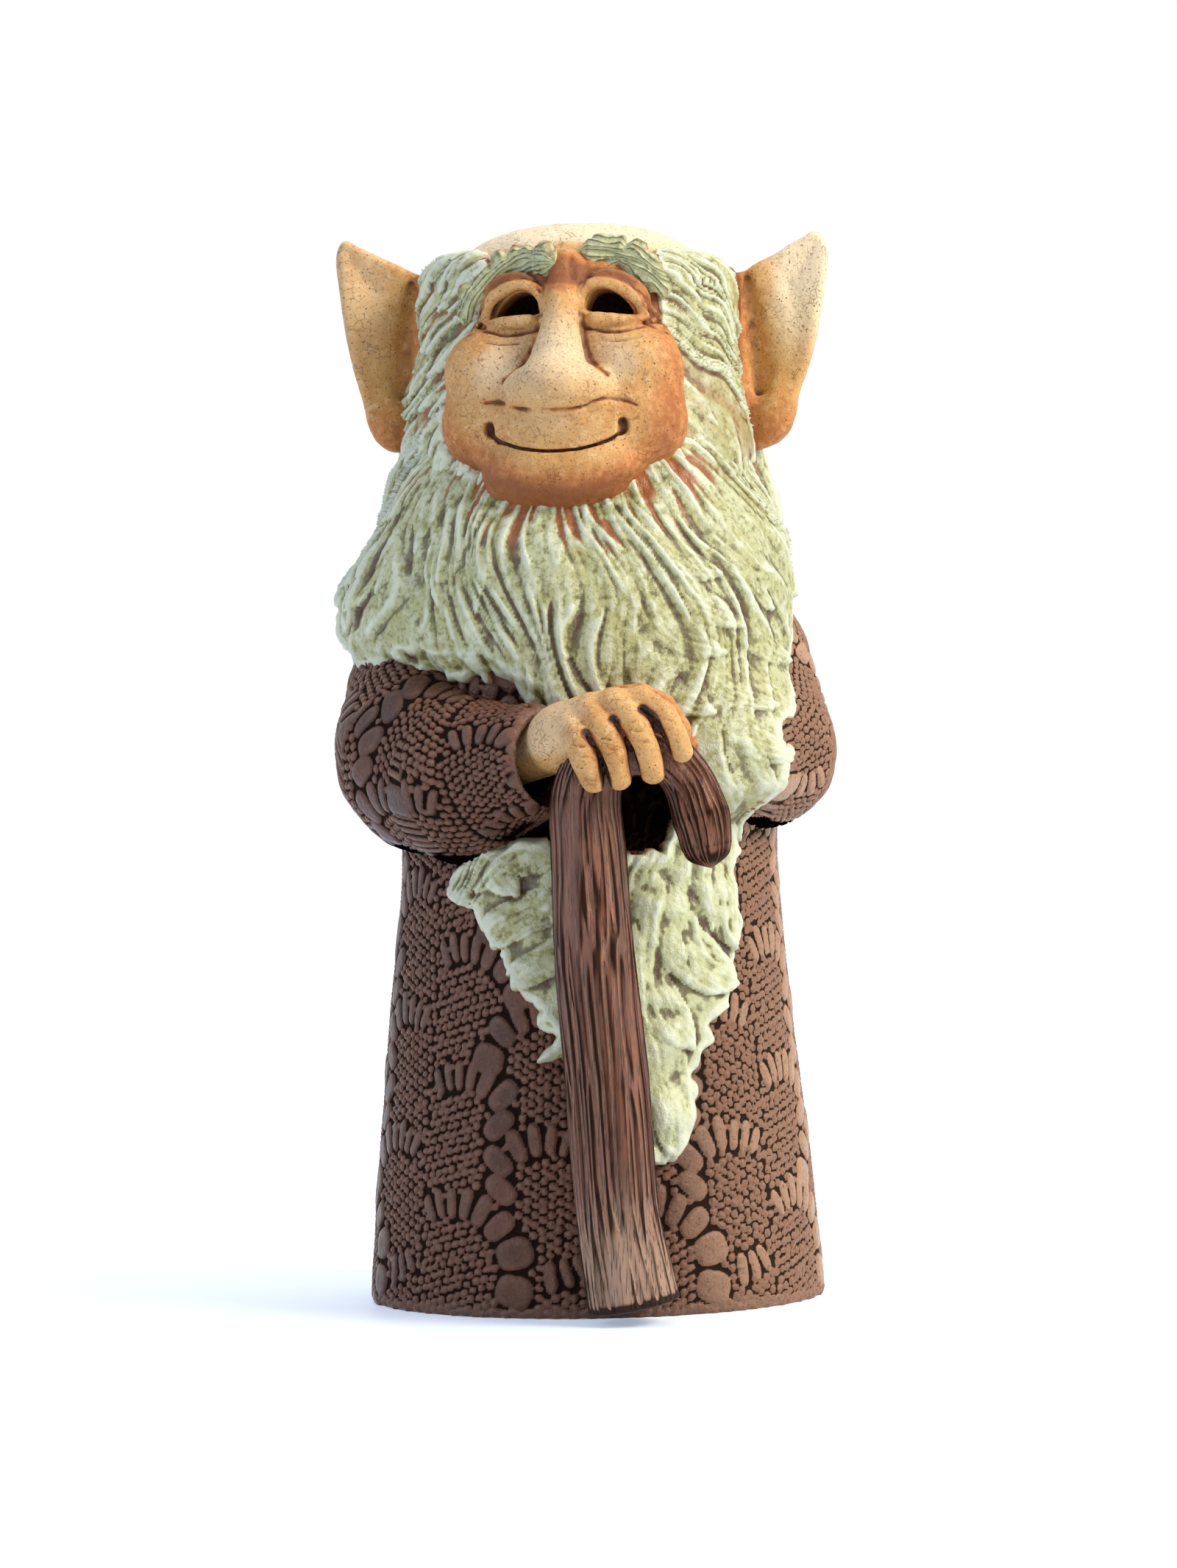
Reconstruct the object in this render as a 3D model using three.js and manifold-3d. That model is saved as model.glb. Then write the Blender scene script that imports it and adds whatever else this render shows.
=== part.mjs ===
// Clay figurine: a bearded old gnome with pointed ears, leaning on a walking stick.
// It is hand-built stoneware. A textured slab is rolled into a hollow robe that is open underneath, a hollow
// head is set on its collar, and every other piece is modelled by itself and luted on with slip.
// Units are millimetres and +Z is up. The figure faces -Y, and azimuths are degrees from the front, positive
// towards +X. "Left" and "right" are the figure's own, so its right arm is at -X.

import * as THREE from "three";
import { mergeVertices } from "three/addons/utils/BufferGeometryUtils.js";
import Module from "manifold-3d";

const { lerp, clamp, smoothstep, degToRad, radToDeg } = THREE.MathUtils;

// Driving dimensions of the hollow core, from the hem up: robe, then head
const HEM_WIDTH = 124;
const HEM_DEPTH = 112;
const WAIST_WIDTH = 102;
const WAIST_HEIGHT = 116;
const CHEST_WIDTH = 103;
const CHEST_RISE = 70;
const COLLAR_RISE = 22;
const TEMPLE_RISE = 58;
const CROWN_RISE = 28;
const HEAD_WIDTH = 78;
const CROWN_FULLNESS = 2.6;
const WALL = 6;
// The film of slip between two luted pieces
const SEAM = 0.35;
// The most that a point may move when slivers are pared off
const SLIVER = 0.05;

// Face: it looks a little towards the figure's right
const FACE_AZIMUTH = -7;
const FACE_WIDTH = 66;
const CHIN_RISE = 7;
const FACE_EDGE = 3;
const FACE_DOME = 3.5;
const CHEEK_SWELL = 6.5;
const LIP_SWELL = 4.5;
const CHIN_SWELL = 4;
const SOCKET_DEPTH = 2.5;
const EYE_SPACING = 25.5;
const EYE_RISE = 52.5;
const FOREHEAD_RISE = 16.5;
const EYE_LENGTH = 13;
const EYE_OPENING = 6.5;
const EYELID_THICKNESS = 5;
const SMILE_WIDTH = 35.5;
const SMILE_RISE = 19;
const SMILE_SAG = 6.5;
const SMILE_GROOVE = 2.2;
const SMILE_CORNER = 4.4;
const NOSE_WIDTH = 28;
const NOSE_LENGTH = 34;
const NOSE_REACH = 18;
const NOSE_BULB = 18;
const BRIDGE_WIDTH = 9.5;
const BROW_LENGTH = 29;
const BROW_THICKNESS = 10;
const BROW_RISE = 14;

// Ears and hair
const EAR_SPAN = 132;
const EAR_LENGTH = 56;
const EAR_LOBE_RISE = 20;
const EAR_THICKNESS = 6.5;
const EAR_CUP = 7;
const EAR_AZIMUTH = 92;
const HAIR_WIDTH = 89;
const HAIR_THICKNESS = 5;
const HAIR_DROP = 8;
const HAIR_LOCKS = 9;
const HAIR_RELIEF = 4;
const HAIR_BEND = 6;

// Beard: a fan on the chest and a pointed tail on the robe
const BEARD_TOP_RISE = 16;
const BEARD_THICKNESS = 6;
const BEARD_SWELL = 4;
const TAIL_DROP = 16;
const TAIL_LENGTH = 89;
const TAIL_THICKNESS = 5;

// Sleeves and hands
const ELBOW_RISE = 28;
const SHOULDER_RISE = 38;
const ELBOW_THICKNESS = 50;
const LEFT_ELBOW_THICKNESS = 39;
const SHOULDER_THICKNESS = 34;
const RIGHT_CUFF_WIDTH = 31;
const LEFT_CUFF_WIDTH = 23;
const WRIST_WIDTH = 17;
const TENON_DEPTH = 8;
const FINGER_WIDTH = 8.6;
const FINGER_LENGTH = 21;
const LITTLE_FINGER_LENGTH = 16;
const LEFT_PALM_LENGTH = 28;
const LEFT_PALM_WIDTH = 22;

// Walking stick
const STICK_FOOT_X = 9.2;
const STICK_TOP_X = -1.2;
const STICK_FOOT_WIDTH = 23;
const STICK_TOP_WIDTH = 18.5;
const STICK_FOOT_CLEARANCE = 4;
const GRIP_RISE = 8;
const CROOK_SPAN = 30;
const CROOK_WIDTH = 15;
const CROOK_END_WIDTH = 11;
const CROOK_DROP = 34;

// Leather pattern of the robe: open fans of scales in staggered columns
const FAN_COLUMNS = 14;
const FAN_PITCH = 34;
const FAN_RADIUS = 18;
const LOWEST_FAN = 12;
const SCALE_LENGTH = 10.4;
const SCALE_WIDTH = 9;
const SCALE_GAP = 1;
const SCALE_RELIEF = 0.8;

// Heights and shares that follow from them
const CHEST_HEIGHT = WAIST_HEIGHT + CHEST_RISE;
const COLLAR_HEIGHT = CHEST_HEIGHT + COLLAR_RISE;
const TEMPLE_HEIGHT = COLLAR_HEIGHT + TEMPLE_RISE;
const FIGURE_HEIGHT = TEMPLE_HEIGHT + CROWN_RISE;
const CHIN_HEIGHT = COLLAR_HEIGHT + CHIN_RISE;
const EYE_HEIGHT = CHIN_HEIGHT + EYE_RISE;
const FACE_HEIGHT = EYE_RISE + FOREHEAD_RISE;
const SMILE_HEIGHT = CHIN_HEIGHT + SMILE_RISE;
const EAR_LOBE_HEIGHT = CHIN_HEIGHT + EAR_LOBE_RISE;
const EAR_TIP_HEIGHT = EAR_LOBE_HEIGHT + EAR_LENGTH;
const HAIR_TOP = FIGURE_HEIGHT - HAIR_DROP;
const BEARD_TOP = CHIN_HEIGHT + BEARD_TOP_RISE;
const ELBOW_HEIGHT = WAIST_HEIGHT + ELBOW_RISE;
const SHOULDER_HEIGHT = ELBOW_HEIGHT + SHOULDER_RISE;
const TAIL_TOP = ELBOW_HEIGHT - TAIL_DROP;
const CROOK_TOP_HEIGHT = ELBOW_HEIGHT + GRIP_RISE;
const DEPTH_SHARE = HEM_DEPTH / HEM_WIDTH;
const CORE_SIDES = 36;

const wasm = await Module();
wasm.setup();

// Solids and booleans

function solid(geometry) {
  const bare = new THREE.BufferGeometry().setAttribute("position", geometry.getAttribute("position"));
  bare.setIndex(geometry.index);
  const merged = mergeVertices(bare, 1e-4);
  const corners = merged.index.array;
  const triangles = [];
  for (let i = 0; i < corners.length; i += 3) {
    const [a, b, c] = [corners[i], corners[i + 1], corners[i + 2]];
    if (a !== b && b !== c && c !== a) triangles.push(a, b, c);
  }
  const vertProperties = merged.attributes.position.array;
  const made = (order) =>
    new wasm.Manifold(new wasm.Mesh({ numProp: 3, vertProperties, triVerts: new Uint32Array(order) }));
  const first = made(triangles);
  return first.volume() > 0 ? first : made(triangles.reverse());
}

function join(...solids) {
  return solids.reduce((whole, next) => whole.add(next));
}

// Cuts the tools away and keeps the main piece, without the crumbs that a cut can leave.
function cut(body, ...tools) {
  const left = tools.reduce((rest, tool) => rest.subtract(tool), body).decompose();
  return left.reduce((main, piece) => (piece.volume() > main.volume() ? piece : main));
}

const pared = (body) => body.asOriginal().simplify(SLIVER);

function mesh(name, body, material) {
  const { numProp, vertProperties, triVerts } = body.getMesh();
  const points = new THREE.InterleavedBuffer(vertProperties, numProp);
  const geometry = new THREE.BufferGeometry();
  geometry.setAttribute("position", new THREE.InterleavedBufferAttribute(points, 3, 0));
  geometry.setIndex(new THREE.BufferAttribute(triVerts, 1));
  const faceted = geometry.toNonIndexed();
  faceted.computeVertexNormals();
  const made = new THREE.Mesh(faceted, material);
  made.name = name;
  return made;
}

// The core: the outside of robe and head, oval in plan. Positive growth is outwards.

function coreRadius(height, growth = 0) {
  const across = (from, to, share) => lerp(from, to, share) / 2 + growth;
  if (height <= WAIST_HEIGHT) return across(HEM_WIDTH, WAIST_WIDTH, height / WAIST_HEIGHT);
  if (height <= CHEST_HEIGHT) {
    return across(WAIST_WIDTH, CHEST_WIDTH, smoothstep(height, WAIST_HEIGHT, CHEST_HEIGHT));
  }
  if (height <= TEMPLE_HEIGHT) {
    return across(CHEST_WIDTH, HEAD_WIDTH, smoothstep(height, CHEST_HEIGHT, TEMPLE_HEIGHT));
  }
  const rise = clamp((height - TEMPLE_HEIGHT) / (CROWN_RISE + growth), 0, 1);
  return (HEAD_WIDTH / 2 + growth) * (1 - rise ** CROWN_FULLNESS) ** (1 / CROWN_FULLNESS);
}

function corePoint(azimuth, height, growth = 0) {
  const angle = degToRad(azimuth);
  const radius = coreRadius(height, growth);
  return new THREE.Vector3(radius * Math.sin(angle), -radius * Math.cos(angle) * DEPTH_SHARE, height);
}

const steps = (count, from, to) => Array.from({ length: count + 1 }, (_, i) => lerp(from, to, i / count));

// Heights up the dome of the crown, closer together towards its top.
const domeHeights = (count, growth = 0) =>
  steps(count, 0, Math.PI / 2).map((turn) => TEMPLE_HEIGHT + (CROWN_RISE + growth) * Math.sin(turn));

const chestHeights = steps(3, WAIST_HEIGHT, CHEST_HEIGHT);
const robeHeights = [0, ...chestHeights, ...steps(2, CHEST_HEIGHT, COLLAR_HEIGHT).slice(1)];
const headHeights = steps(4, COLLAR_HEIGHT, TEMPLE_HEIGHT);

const profileOf = (heights, growth = 0) =>
  heights.map((height) => new THREE.Vector2(coreRadius(height, growth), height));

function revolve(profile) {
  const lathe = new THREE.LatheGeometry(profile, CORE_SIDES);
  return solid(lathe.rotateX(Math.PI / 2).scale(1, DEPTH_SHARE, 1));
}

// The whole core as one block, grown by one seam, for cutting what sits on it.
function coreBlock() {
  const heights = [...robeHeights, ...headHeights.slice(1), ...domeHeights(6, SEAM).slice(1)];
  const outside = profileOf(heights, SEAM);
  const under = [new THREE.Vector2(0, -SEAM), new THREE.Vector2(outside[0].x, -SEAM)];
  return revolve([...under, ...outside]);
}

const core = coreBlock();

// Forms

// Skins a row of rings, each a closed loop of the same count, and closes both ends.
function loft(rings) {
  const sides = rings[0].length;
  const middle = (ring) => ring.reduce((sum, p) => sum.add(p), new THREE.Vector3()).divideScalar(sides);
  const points = [...rings.flat(), middle(rings[0]), middle(rings.at(-1))];
  const [startCentre, endCentre] = [points.length - 2, points.length - 1];
  const last = (rings.length - 1) * sides;
  const index = [];
  for (let side = 0; side < sides; side++) {
    const next = (side + 1) % sides;
    for (let ring = 0; ring < last; ring += sides) {
      const [a, b, c, d] = [ring + side, ring + next, ring + sides + side, ring + sides + next];
      index.push(a, b, d, a, d, c);
    }
    index.push(startCentre, next, side, endCentre, last + side, last + next);
  }
  return solid(new THREE.BufferGeometry().setFromPoints(points).setIndex(index));
}

// Angles of a ring's corners.
const ringTurns = (sides) => steps(sides, 0, 2 * Math.PI).slice(0, sides);

// A rolled coil of clay along a curve through points. Width is a function of the share of its length.
function coil(points, width, { stations, sides, grow = 0 }) {
  const curve = new THREE.CatmullRomCurve3(points);
  const { tangents, normals, binormals } = curve.computeFrenetFrames(stations);
  const rings = tangents.map((tangent, i) => {
    const share = i / stations;
    const radius = width(share) / 2 + grow;
    const past = i === 0 ? -grow : i === stations ? grow : 0;
    const centre = curve.getPointAt(share).addScaledVector(tangent, past);
    return ringTurns(sides).map((turn) =>
      centre
        .clone()
        .addScaledVector(normals[i], radius * Math.cos(turn))
        .addScaledVector(binormals[i], radius * Math.sin(turn)),
    );
  });
  return loft(rings);
}

// A width that eases between values at even shares of the length.
function swell(...values) {
  const curve = new THREE.SplineCurve(values.map((value, i) => new THREE.Vector2(i, value)));
  return (share) => curve.getPoint(share).y;
}

// A width that ends round: full, then closing as a half circle over the last share.
const roundTip = (width, closing) => (share) => {
  const past = Math.max(0, (share - 1 + closing) / closing);
  return width * Math.max(0.08, Math.sqrt(1 - past ** 2));
};

function ball(centre, [width, depth, height], detail, grow = 0) {
  const sphere = new THREE.SphereGeometry(0.5, detail, Math.round(detail * 0.6)).rotateX(Math.PI / 2);
  sphere.scale(width + 2 * grow, depth + 2 * grow, height + 2 * grow);
  return solid(sphere.translate(centre.x, centre.y, centre.z));
}

// A slab of clay pressed on the core, still sunk into it. place(u, v) gives [azimuth, height] and clay(u, v)
// the thickness over it. A round slab has u for the turn and v for the way out from its middle.
function slab(place, clay, columns, rows, { round = false, grow = 0 } = {}) {
  const points = [];
  const skin = (rise) => {
    for (const v of steps(rows, 0, 1)) {
      for (const u of steps(columns, 0, 1)) {
        const [azimuth, height] = place(u, v);
        points.push(corePoint(azimuth, height, rise(u, v)));
      }
    }
  };
  skin((u, v) => SEAM + clay(u, v) + grow);
  skin(() => -WALL / 2);
  const across = columns + 1;
  const inner = across * (rows + 1);
  const index = [];
  const quad = (a, b, c, d) => index.push(a, b, c, a, c, d);
  for (let row = 0; row < rows; row++) {
    for (let column = 0; column < columns; column++) {
      const a = row * across + column;
      quad(a, a + across, a + across + 1, a + 1);
      quad(inner + a, inner + a + 1, inner + a + across + 1, inner + a + across);
    }
  }
  const wall = (from, to) => quad(to, from, inner + from, inner + to);
  const bottom = rows * across;
  for (let column = 0; column < columns; column++) {
    wall(bottom + column, bottom + column + 1);
    if (!round) wall(column + 1, column);
  }
  for (let row = 0; row < rows && !round; row++) {
    wall(row * across, (row + 1) * across);
    wall((row + 1) * across + columns, row * across + columns);
  }
  return solid(new THREE.BufferGeometry().setFromPoints(points).setIndex(index));
}

// A smooth curve through [x, y] pairs in order of x, read as y at x.
function through(...pairs) {
  const line = new THREE.SplineCurve(pairs.map(([x, y]) => new THREE.Vector2(x, y))).getPoints(60);
  return (x) => {
    const found = line.findIndex((p) => p.x >= x);
    const i = found < 0 ? line.length - 1 : Math.max(1, found);
    const share = (x - line[i - 1].x) / (line[i].x - line[i - 1].x);
    return lerp(line[i - 1].y, line[i].y, clamp(share, 0, 1));
  };
}

// A soft mound: 1 at its middle, fading over the given spread.
const mound = (away, spread, rise, tall) => Math.exp(-((away / spread) ** 2) - (rise / tall) ** 2);

// Robe and head

// A big scale of the leather is a low six-sided pad, sunk into the wall, with its length turned from level.
function scalePad(azimuth, height, turn, grow = 0) {
  const ring = (share, rise) =>
    ringTurns(6).map((corner) => {
      const along = (share * SCALE_LENGTH + grow) * 0.5 * Math.cos(corner);
      const across = (share * SCALE_WIDTH + grow) * 0.5 * Math.sin(corner);
      const aside = along * Math.cos(turn) - across * Math.sin(turn);
      const up = along * Math.sin(turn) + across * Math.cos(turn);
      return corePoint(azimuth + radToDeg(aside / coreRadius(height)), height + up, rise);
    });
  return loft([ring(1.25, -WALL / 4), ring(0.78, SCALE_RELIEF + grow)]);
}

// Each fan bends round a pair of big scales, and the fans of neighbouring columns are back to back.
function scalePlaces() {
  const roll = (HEM_WIDTH + WAIST_WIDTH) / 4;
  const bend = (SCALE_WIDTH + SCALE_GAP) / 2 / FAN_RADIUS;
  const places = [];
  for (let column = 0; column < FAN_COLUMNS; column++) {
    const side = column % 2 ? -1 : 1;
    const middle = (360 * (column + 0.5)) / FAN_COLUMNS;
    const lowest = LOWEST_FAN + (column % 2 ? FAN_PITCH / 2 : 0);
    for (let height = lowest; height < CHEST_HEIGHT; height += FAN_PITCH) {
      for (const turn of [-bend, bend]) {
        const aside = side * FAN_RADIUS * Math.cos(turn);
        places.push([middle + radToDeg(aside / roll), height + FAN_RADIUS * Math.sin(turn), side * turn]);
      }
    }
  }
  return places;
}

// The robe has its scales where nothing lies on it.
function robeBody() {
  const outside = profileOf(robeHeights);
  const inside = profileOf([COLLAR_HEIGHT, CHEST_HEIGHT, WAIST_HEIGHT, 0], -WALL);
  const wall = revolve([...outside, ...inside, outside[0]]);
  const cover = join(beardFan(), beardTail(), backHair(), sleeveForm(1), sleeveForm(-1), stick());
  const bare = scalePlaces().filter((place) => scalePad(...place, 2 * SEAM).intersect(cover).isEmpty());
  return pared(join(wall, ...bare.map((place) => scalePad(...place))));
}

function headShell() {
  const sides = [COLLAR_HEIGHT + SEAM, ...headHeights.slice(1)];
  const outside = profileOf([...sides, ...domeHeights(6).slice(1)]);
  const inside = profileOf([...sides, ...domeHeights(4, -WALL).slice(1)], -WALL).reverse();
  const shell = revolve([...outside, ...inside, outside[0]]);
  return cut(shell, eyeCut(-1, WALL / 3), eyeCut(1, WALL / 3));
}

// Face. Places on it are given as millimetres across from its middle line, and height.

const faceAzimuth = (across, height) => FACE_AZIMUTH + radToDeg(across / coreRadius(height));
const facePoint = (across, height, lift) => corePoint(faceAzimuth(across, height), height, lift);

// The outline is an egg, wider at the cheeks than at the brow.
function facePlace(turn, out, grow) {
  const angle = 2 * Math.PI * turn;
  const wide = FACE_WIDTH / 2 + grow;
  const tall = FACE_HEIGHT / 2 + grow;
  const across = out * wide * Math.sin(angle) * (1 - 0.14 * out * Math.cos(angle));
  return [across, CHIN_HEIGHT + FACE_HEIGHT / 2 + out * tall * Math.cos(angle)];
}

// The clay over the head at a place on the face: a low dome with cheeks, upper lip, chin and eye sockets.
function faceClay(across, height, out) {
  const aside = Math.abs(across);
  const wide = FACE_WIDTH / 2;
  const cheekHeight = (SMILE_HEIGHT + EYE_HEIGHT) / 2 - SMILE_SAG;
  return (
    FACE_EDGE +
    FACE_DOME * (1 - out ** 2) +
    CHEEK_SWELL * mound(aside - 0.55 * wide, wide / 3, height - cheekHeight, FACE_HEIGHT / 6) +
    LIP_SWELL * mound(across, SMILE_WIDTH / 2, height - SMILE_HEIGHT, SMILE_SAG) +
    CHIN_SWELL * mound(across, SMILE_WIDTH / 2, height - CHIN_HEIGHT - SMILE_SAG, SMILE_SAG) -
    SOCKET_DEPTH * mound(aside - EYE_SPACING / 2, 0.6 * EYE_LENGTH, height - EYE_HEIGHT, 0.7 * EYE_OPENING)
  );
}

function faceSlab(grow = 0) {
  const place = (u, v) => {
    const [across, height] = facePlace(u, v, grow);
    return [faceAzimuth(across, height), height];
  };
  return slab(place, (u, v) => faceClay(...facePlace(u, v, 0), v), 28, 8, { round: true, grow });
}

// An almond-shaped hole through face and head, at the eye on the given side.
function eyeCut(side, grow) {
  const half = EYE_LENGTH / 2 + grow;
  const rise = EYE_OPENING / 2 + grow;
  const almond = new THREE.Shape().moveTo(-half, 0);
  almond.quadraticCurveTo(0, 2.2 * rise, half, 0).quadraticCurveTo(0, -1.4 * rise, -half, 0);
  const depth = 3 * WALL + FACE_EDGE + FACE_DOME;
  const hole = new THREE.ExtrudeGeometry(almond, { depth, bevelEnabled: false, curveSegments: 6 });
  const azimuth = faceAzimuth((side * EYE_SPACING) / 2, EYE_HEIGHT);
  const start = corePoint(azimuth, EYE_HEIGHT, -2 * WALL);
  hole.rotateX(Math.PI / 2).rotateZ(degToRad(azimuth)).translate(start.x, start.y, start.z);
  return solid(hole);
}

function faceMask() {
  const skinAt = (share) => {
    const across = (share * SMILE_WIDTH) / 2;
    const height = SMILE_HEIGHT - SMILE_SAG * (1 - share ** 2);
    const out = Math.abs(2 * (height - CHIN_HEIGHT) - FACE_HEIGHT) / FACE_HEIGHT;
    return facePoint(across, height, SEAM + faceClay(across, height, out));
  };
  const line = steps(8, -1, 1).map(skinAt);
  const groove = coil(line, () => SMILE_GROOVE, { stations: 16, sides: 6 });
  const pits = [line[0], line[8]].map((at) => ball(at, [SMILE_CORNER, SMILE_CORNER, SMILE_CORNER], 8));
  return cut(faceSlab(), core, eyeCut(-1, 0), eyeCut(1, 0), groove, ...pits);
}

const skinLift = FACE_EDGE + FACE_DOME;

function noseForm(grow = 0) {
  const topHeight = EYE_HEIGHT + EYE_OPENING;
  const tipHeight = topHeight - NOSE_LENGTH + NOSE_BULB / 2;
  const ridge = steps(3, 0, 1).map((share) =>
    facePoint(0, lerp(topHeight, tipHeight, share), skinLift + 0.6 * NOSE_REACH * share),
  );
  const width = swell(0.9 * BRIDGE_WIDTH, BRIDGE_WIDTH, 1.2 * BRIDGE_WIDTH, 0.5 * NOSE_WIDTH);
  const bridge = coil(ridge, width, { stations: 5, sides: 9, grow });
  const tip = facePoint(0, tipHeight, skinLift + NOSE_REACH - NOSE_BULB / 2);
  const bulb = ball(tip, [0.68 * NOSE_WIDTH, NOSE_BULB, 0.94 * NOSE_BULB], 10, grow);
  const wings = [-1, 1].map((side) => {
    const at = facePoint(0.3 * side * NOSE_WIDTH, tipHeight - NOSE_BULB / 18, skinLift + NOSE_BULB / 9);
    return ball(at, [0.4 * NOSE_WIDTH, 0.78 * NOSE_BULB, 0.72 * NOSE_BULB], 8, grow);
  });
  return join(bridge, bulb, ...wings);
}

// A lid is a thin coil bent over, or under, the eye opening.
function lidForm(side, above, grow = 0) {
  const middle = (side * EYE_SPACING) / 2;
  const bow = (above ? 0.72 : 0.4) * EYE_OPENING + 0.3 * EYELID_THICKNESS;
  const reach = EYE_LENGTH / 2 + 0.25 * EYELID_THICKNESS;
  const line = steps(4, -1, 1).map((share) => {
    const height = EYE_HEIGHT + (above ? bow : -bow) * (1 - share ** 2);
    return facePoint(middle + share * reach, height, skinLift);
  });
  const width = swell(0.3, 1, 1.05, 1, 0.3);
  return coil(line, (share) => width(share) * EYELID_THICKNESS, { stations: 6, sides: 6, grow });
}

function eyelid(side, above) {
  const tools = [faceSlab(SEAM), eyeCut(side, SEAM), noseForm(SEAM)];
  if (!above) tools.push(lidForm(side, true, SEAM));
  return pared(cut(lidForm(side, above), ...tools));
}

// A brow is a thick lock of hair that arches over the eye and tapers to its outer end.
function browForm(side, grow = 0) {
  const middle = EYE_SPACING / 2 + 0.1 * BROW_LENGTH;
  const line = steps(4, -1, 1).map((share) => {
    const height = EYE_HEIGHT + BROW_RISE * (1 - 0.36 * (share + 0.35) ** 2 - 0.14 * share);
    return facePoint(side * (middle + (share * BROW_LENGTH) / 2), height, skinLift);
  });
  const width = swell(0.45, 0.95, 1, 0.85, 0.3);
  return coil(line, (share) => width(share) * BROW_THICKNESS, { stations: 9, sides: 10, grow });
}

const lidsOf = (side) => [lidForm(side, true, SEAM), lidForm(side, false, SEAM)];

const eyebrow = (side) =>
  pared(cut(browForm(side), faceSlab(SEAM), core, ...lidsOf(side), noseForm(SEAM)));

// Ears: a cupped leaf whose sections stand one outside the other, from the root in the head to the rim.

function earForm(side, grow = 0) {
  const root = HEAD_WIDTH / 2 - WALL;
  const reach = EAR_SPAN / 2 - root;
  const lower = through([0, 0.2], [0.35, 0.05], [0.6, 0], [0.86, 0.23], [1, 0.57]);
  const upper = through([0, 0.73], [0.33, 0.82], [0.7, 0.89], [1, 1]);
  const sweep = Math.sin(degToRad(EAR_AZIMUTH - 90));
  const rings = steps(7, 0, 1).map((out) => {
    const middle = EAR_LOBE_HEIGHT + (EAR_LENGTH * (lower(out) + upper(out))) / 2;
    const half = (EAR_LENGTH * (upper(out) - lower(out))) / 2;
    const thin = (EAR_THICKNESS / 2) * (1 - 0.35 * out ** 2);
    const cup = EAR_CUP * Math.sin(Math.PI * (0.25 + 0.75 * out));
    const away = root + reach * out + (out === 1 ? grow : 0);
    const ring = ringTurns(16).map((turn) => {
      const z = (half + grow) * Math.cos(turn);
      const dish = cup * (1 - Math.min(1, Math.abs(z) / half) ** 2);
      const y = dish - (thin * Math.sqrt(1 - 0.8 * Math.cos(turn) ** 2) + grow) * Math.sin(turn);
      return new THREE.Vector3(side * away, y + away * sweep, middle + z);
    });
    return side > 0 ? ring : ring.reverse();
  });
  return loft(rings);
}

const earTools = [earForm(1, 2 * SEAM), earForm(-1, 2 * SEAM)];

// Hair. Side hair and back hair meet behind the ear, one seam apart.

const HAIR_PARTING = EAR_AZIMUTH + 3;
const SEAM_TURN = radToDeg(SEAM / (HEAD_WIDTH / 2));
const hairClay = (height) => Math.max(HAIR_THICKNESS, HAIR_WIDTH / 2 - coreRadius(height));

// Rows of a slab that starts on the dome of the crown, closer together at its top.
const fromCrown = (low, v) => lerp(HAIR_TOP, low, v ** 1.5);

function sideHair(side) {
  const place = (u, v) => [side * lerp(30, HAIR_PARTING, u), fromCrown(BEARD_TOP + SEAM, v)];
  const clay = (u, v) => hairClay(place(u, v)[1]) * lerp(0.75, 1, Math.sin(Math.PI * Math.min(1, u + 0.25)));
  const tools = [faceSlab(SEAM), browForm(side, SEAM), ...earTools, ...lidsOf(side)];
  return pared(cut(slab(place, clay, 7, 7), core, ...tools));
}

function backHair() {
  const edge = HAIR_PARTING + SEAM_TURN;
  const crest = (u) => -Math.cos(2 * Math.PI * HAIR_LOCKS * u);
  const hem = (u) => SHOULDER_HEIGHT - HAIR_THICKNESS * (1 - (2 * u - 1) ** 2) - (HAIR_RELIEF / 2) * crest(u);
  const bend = (u, v) => HAIR_BEND * Math.sin(2 * Math.PI * v) * Math.sin(Math.PI * u);
  const place = (u, v) => [lerp(edge, 360 - edge, u) + bend(u, v), fromCrown(hem(u), v)];
  const clay = (u, v) =>
    hairClay(place(u, v)[1]) * (1 + 0.4 * Math.sin(Math.PI * v)) +
    (HAIR_RELIEF / 2) * crest(u) * smoothstep(v, 0.1, 0.5);
  const body = slab(place, clay, 2 * HAIR_LOCKS, 8);
  return pared(cut(body, core, ...earTools, sleeveForm(1, SEAM), sleeveForm(-1, SEAM)));
}

// Beard. The fan's hem falls from the right shoulder to the left forearm, where the tail hangs from it.

const fanHemShare = through(
  [-HAIR_PARTING, 1],
  [-75, 0.82],
  [-48, 0.64],
  [-25, 0.55],
  [-8, 0.42],
  [12, 0.2],
  [35, 0.04],
  [64, 0],
);
const fanHem = (azimuth) => lerp(TAIL_TOP, SHOULDER_HEIGHT + BEARD_THICKNESS, fanHemShare(azimuth));
const fanEdge = through([0, HAIR_PARTING], [0.35, 88], [0.65, 70], [0.85, 58], [1, 54]);

function fanPlace(u, v) {
  const hemAzimuth = lerp(-HAIR_PARTING, fanEdge(1), u);
  return [lerp(-HAIR_PARTING, fanEdge(v), u), lerp(BEARD_TOP, fanHem(hemAzimuth), v)];
}

// Thicker where it lies over the right shoulder and over the left forearm.
function fanClay(u, v) {
  const [azimuth, height] = fanPlace(u, v);
  const cover = 0.38 * LEFT_ELBOW_THICKNESS;
  return (
    BEARD_THICKNESS +
    0.24 * SHOULDER_THICKNESS * mound(azimuth + 88, 34, height - SHOULDER_HEIGHT, cover) +
    cover * mound(azimuth - 48, 26, height - ELBOW_HEIGHT, 1.6 * cover) +
    BEARD_SWELL * mound(azimuth, 45, height - CHEST_HEIGHT, CHEST_RISE / 3)
  );
}

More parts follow.
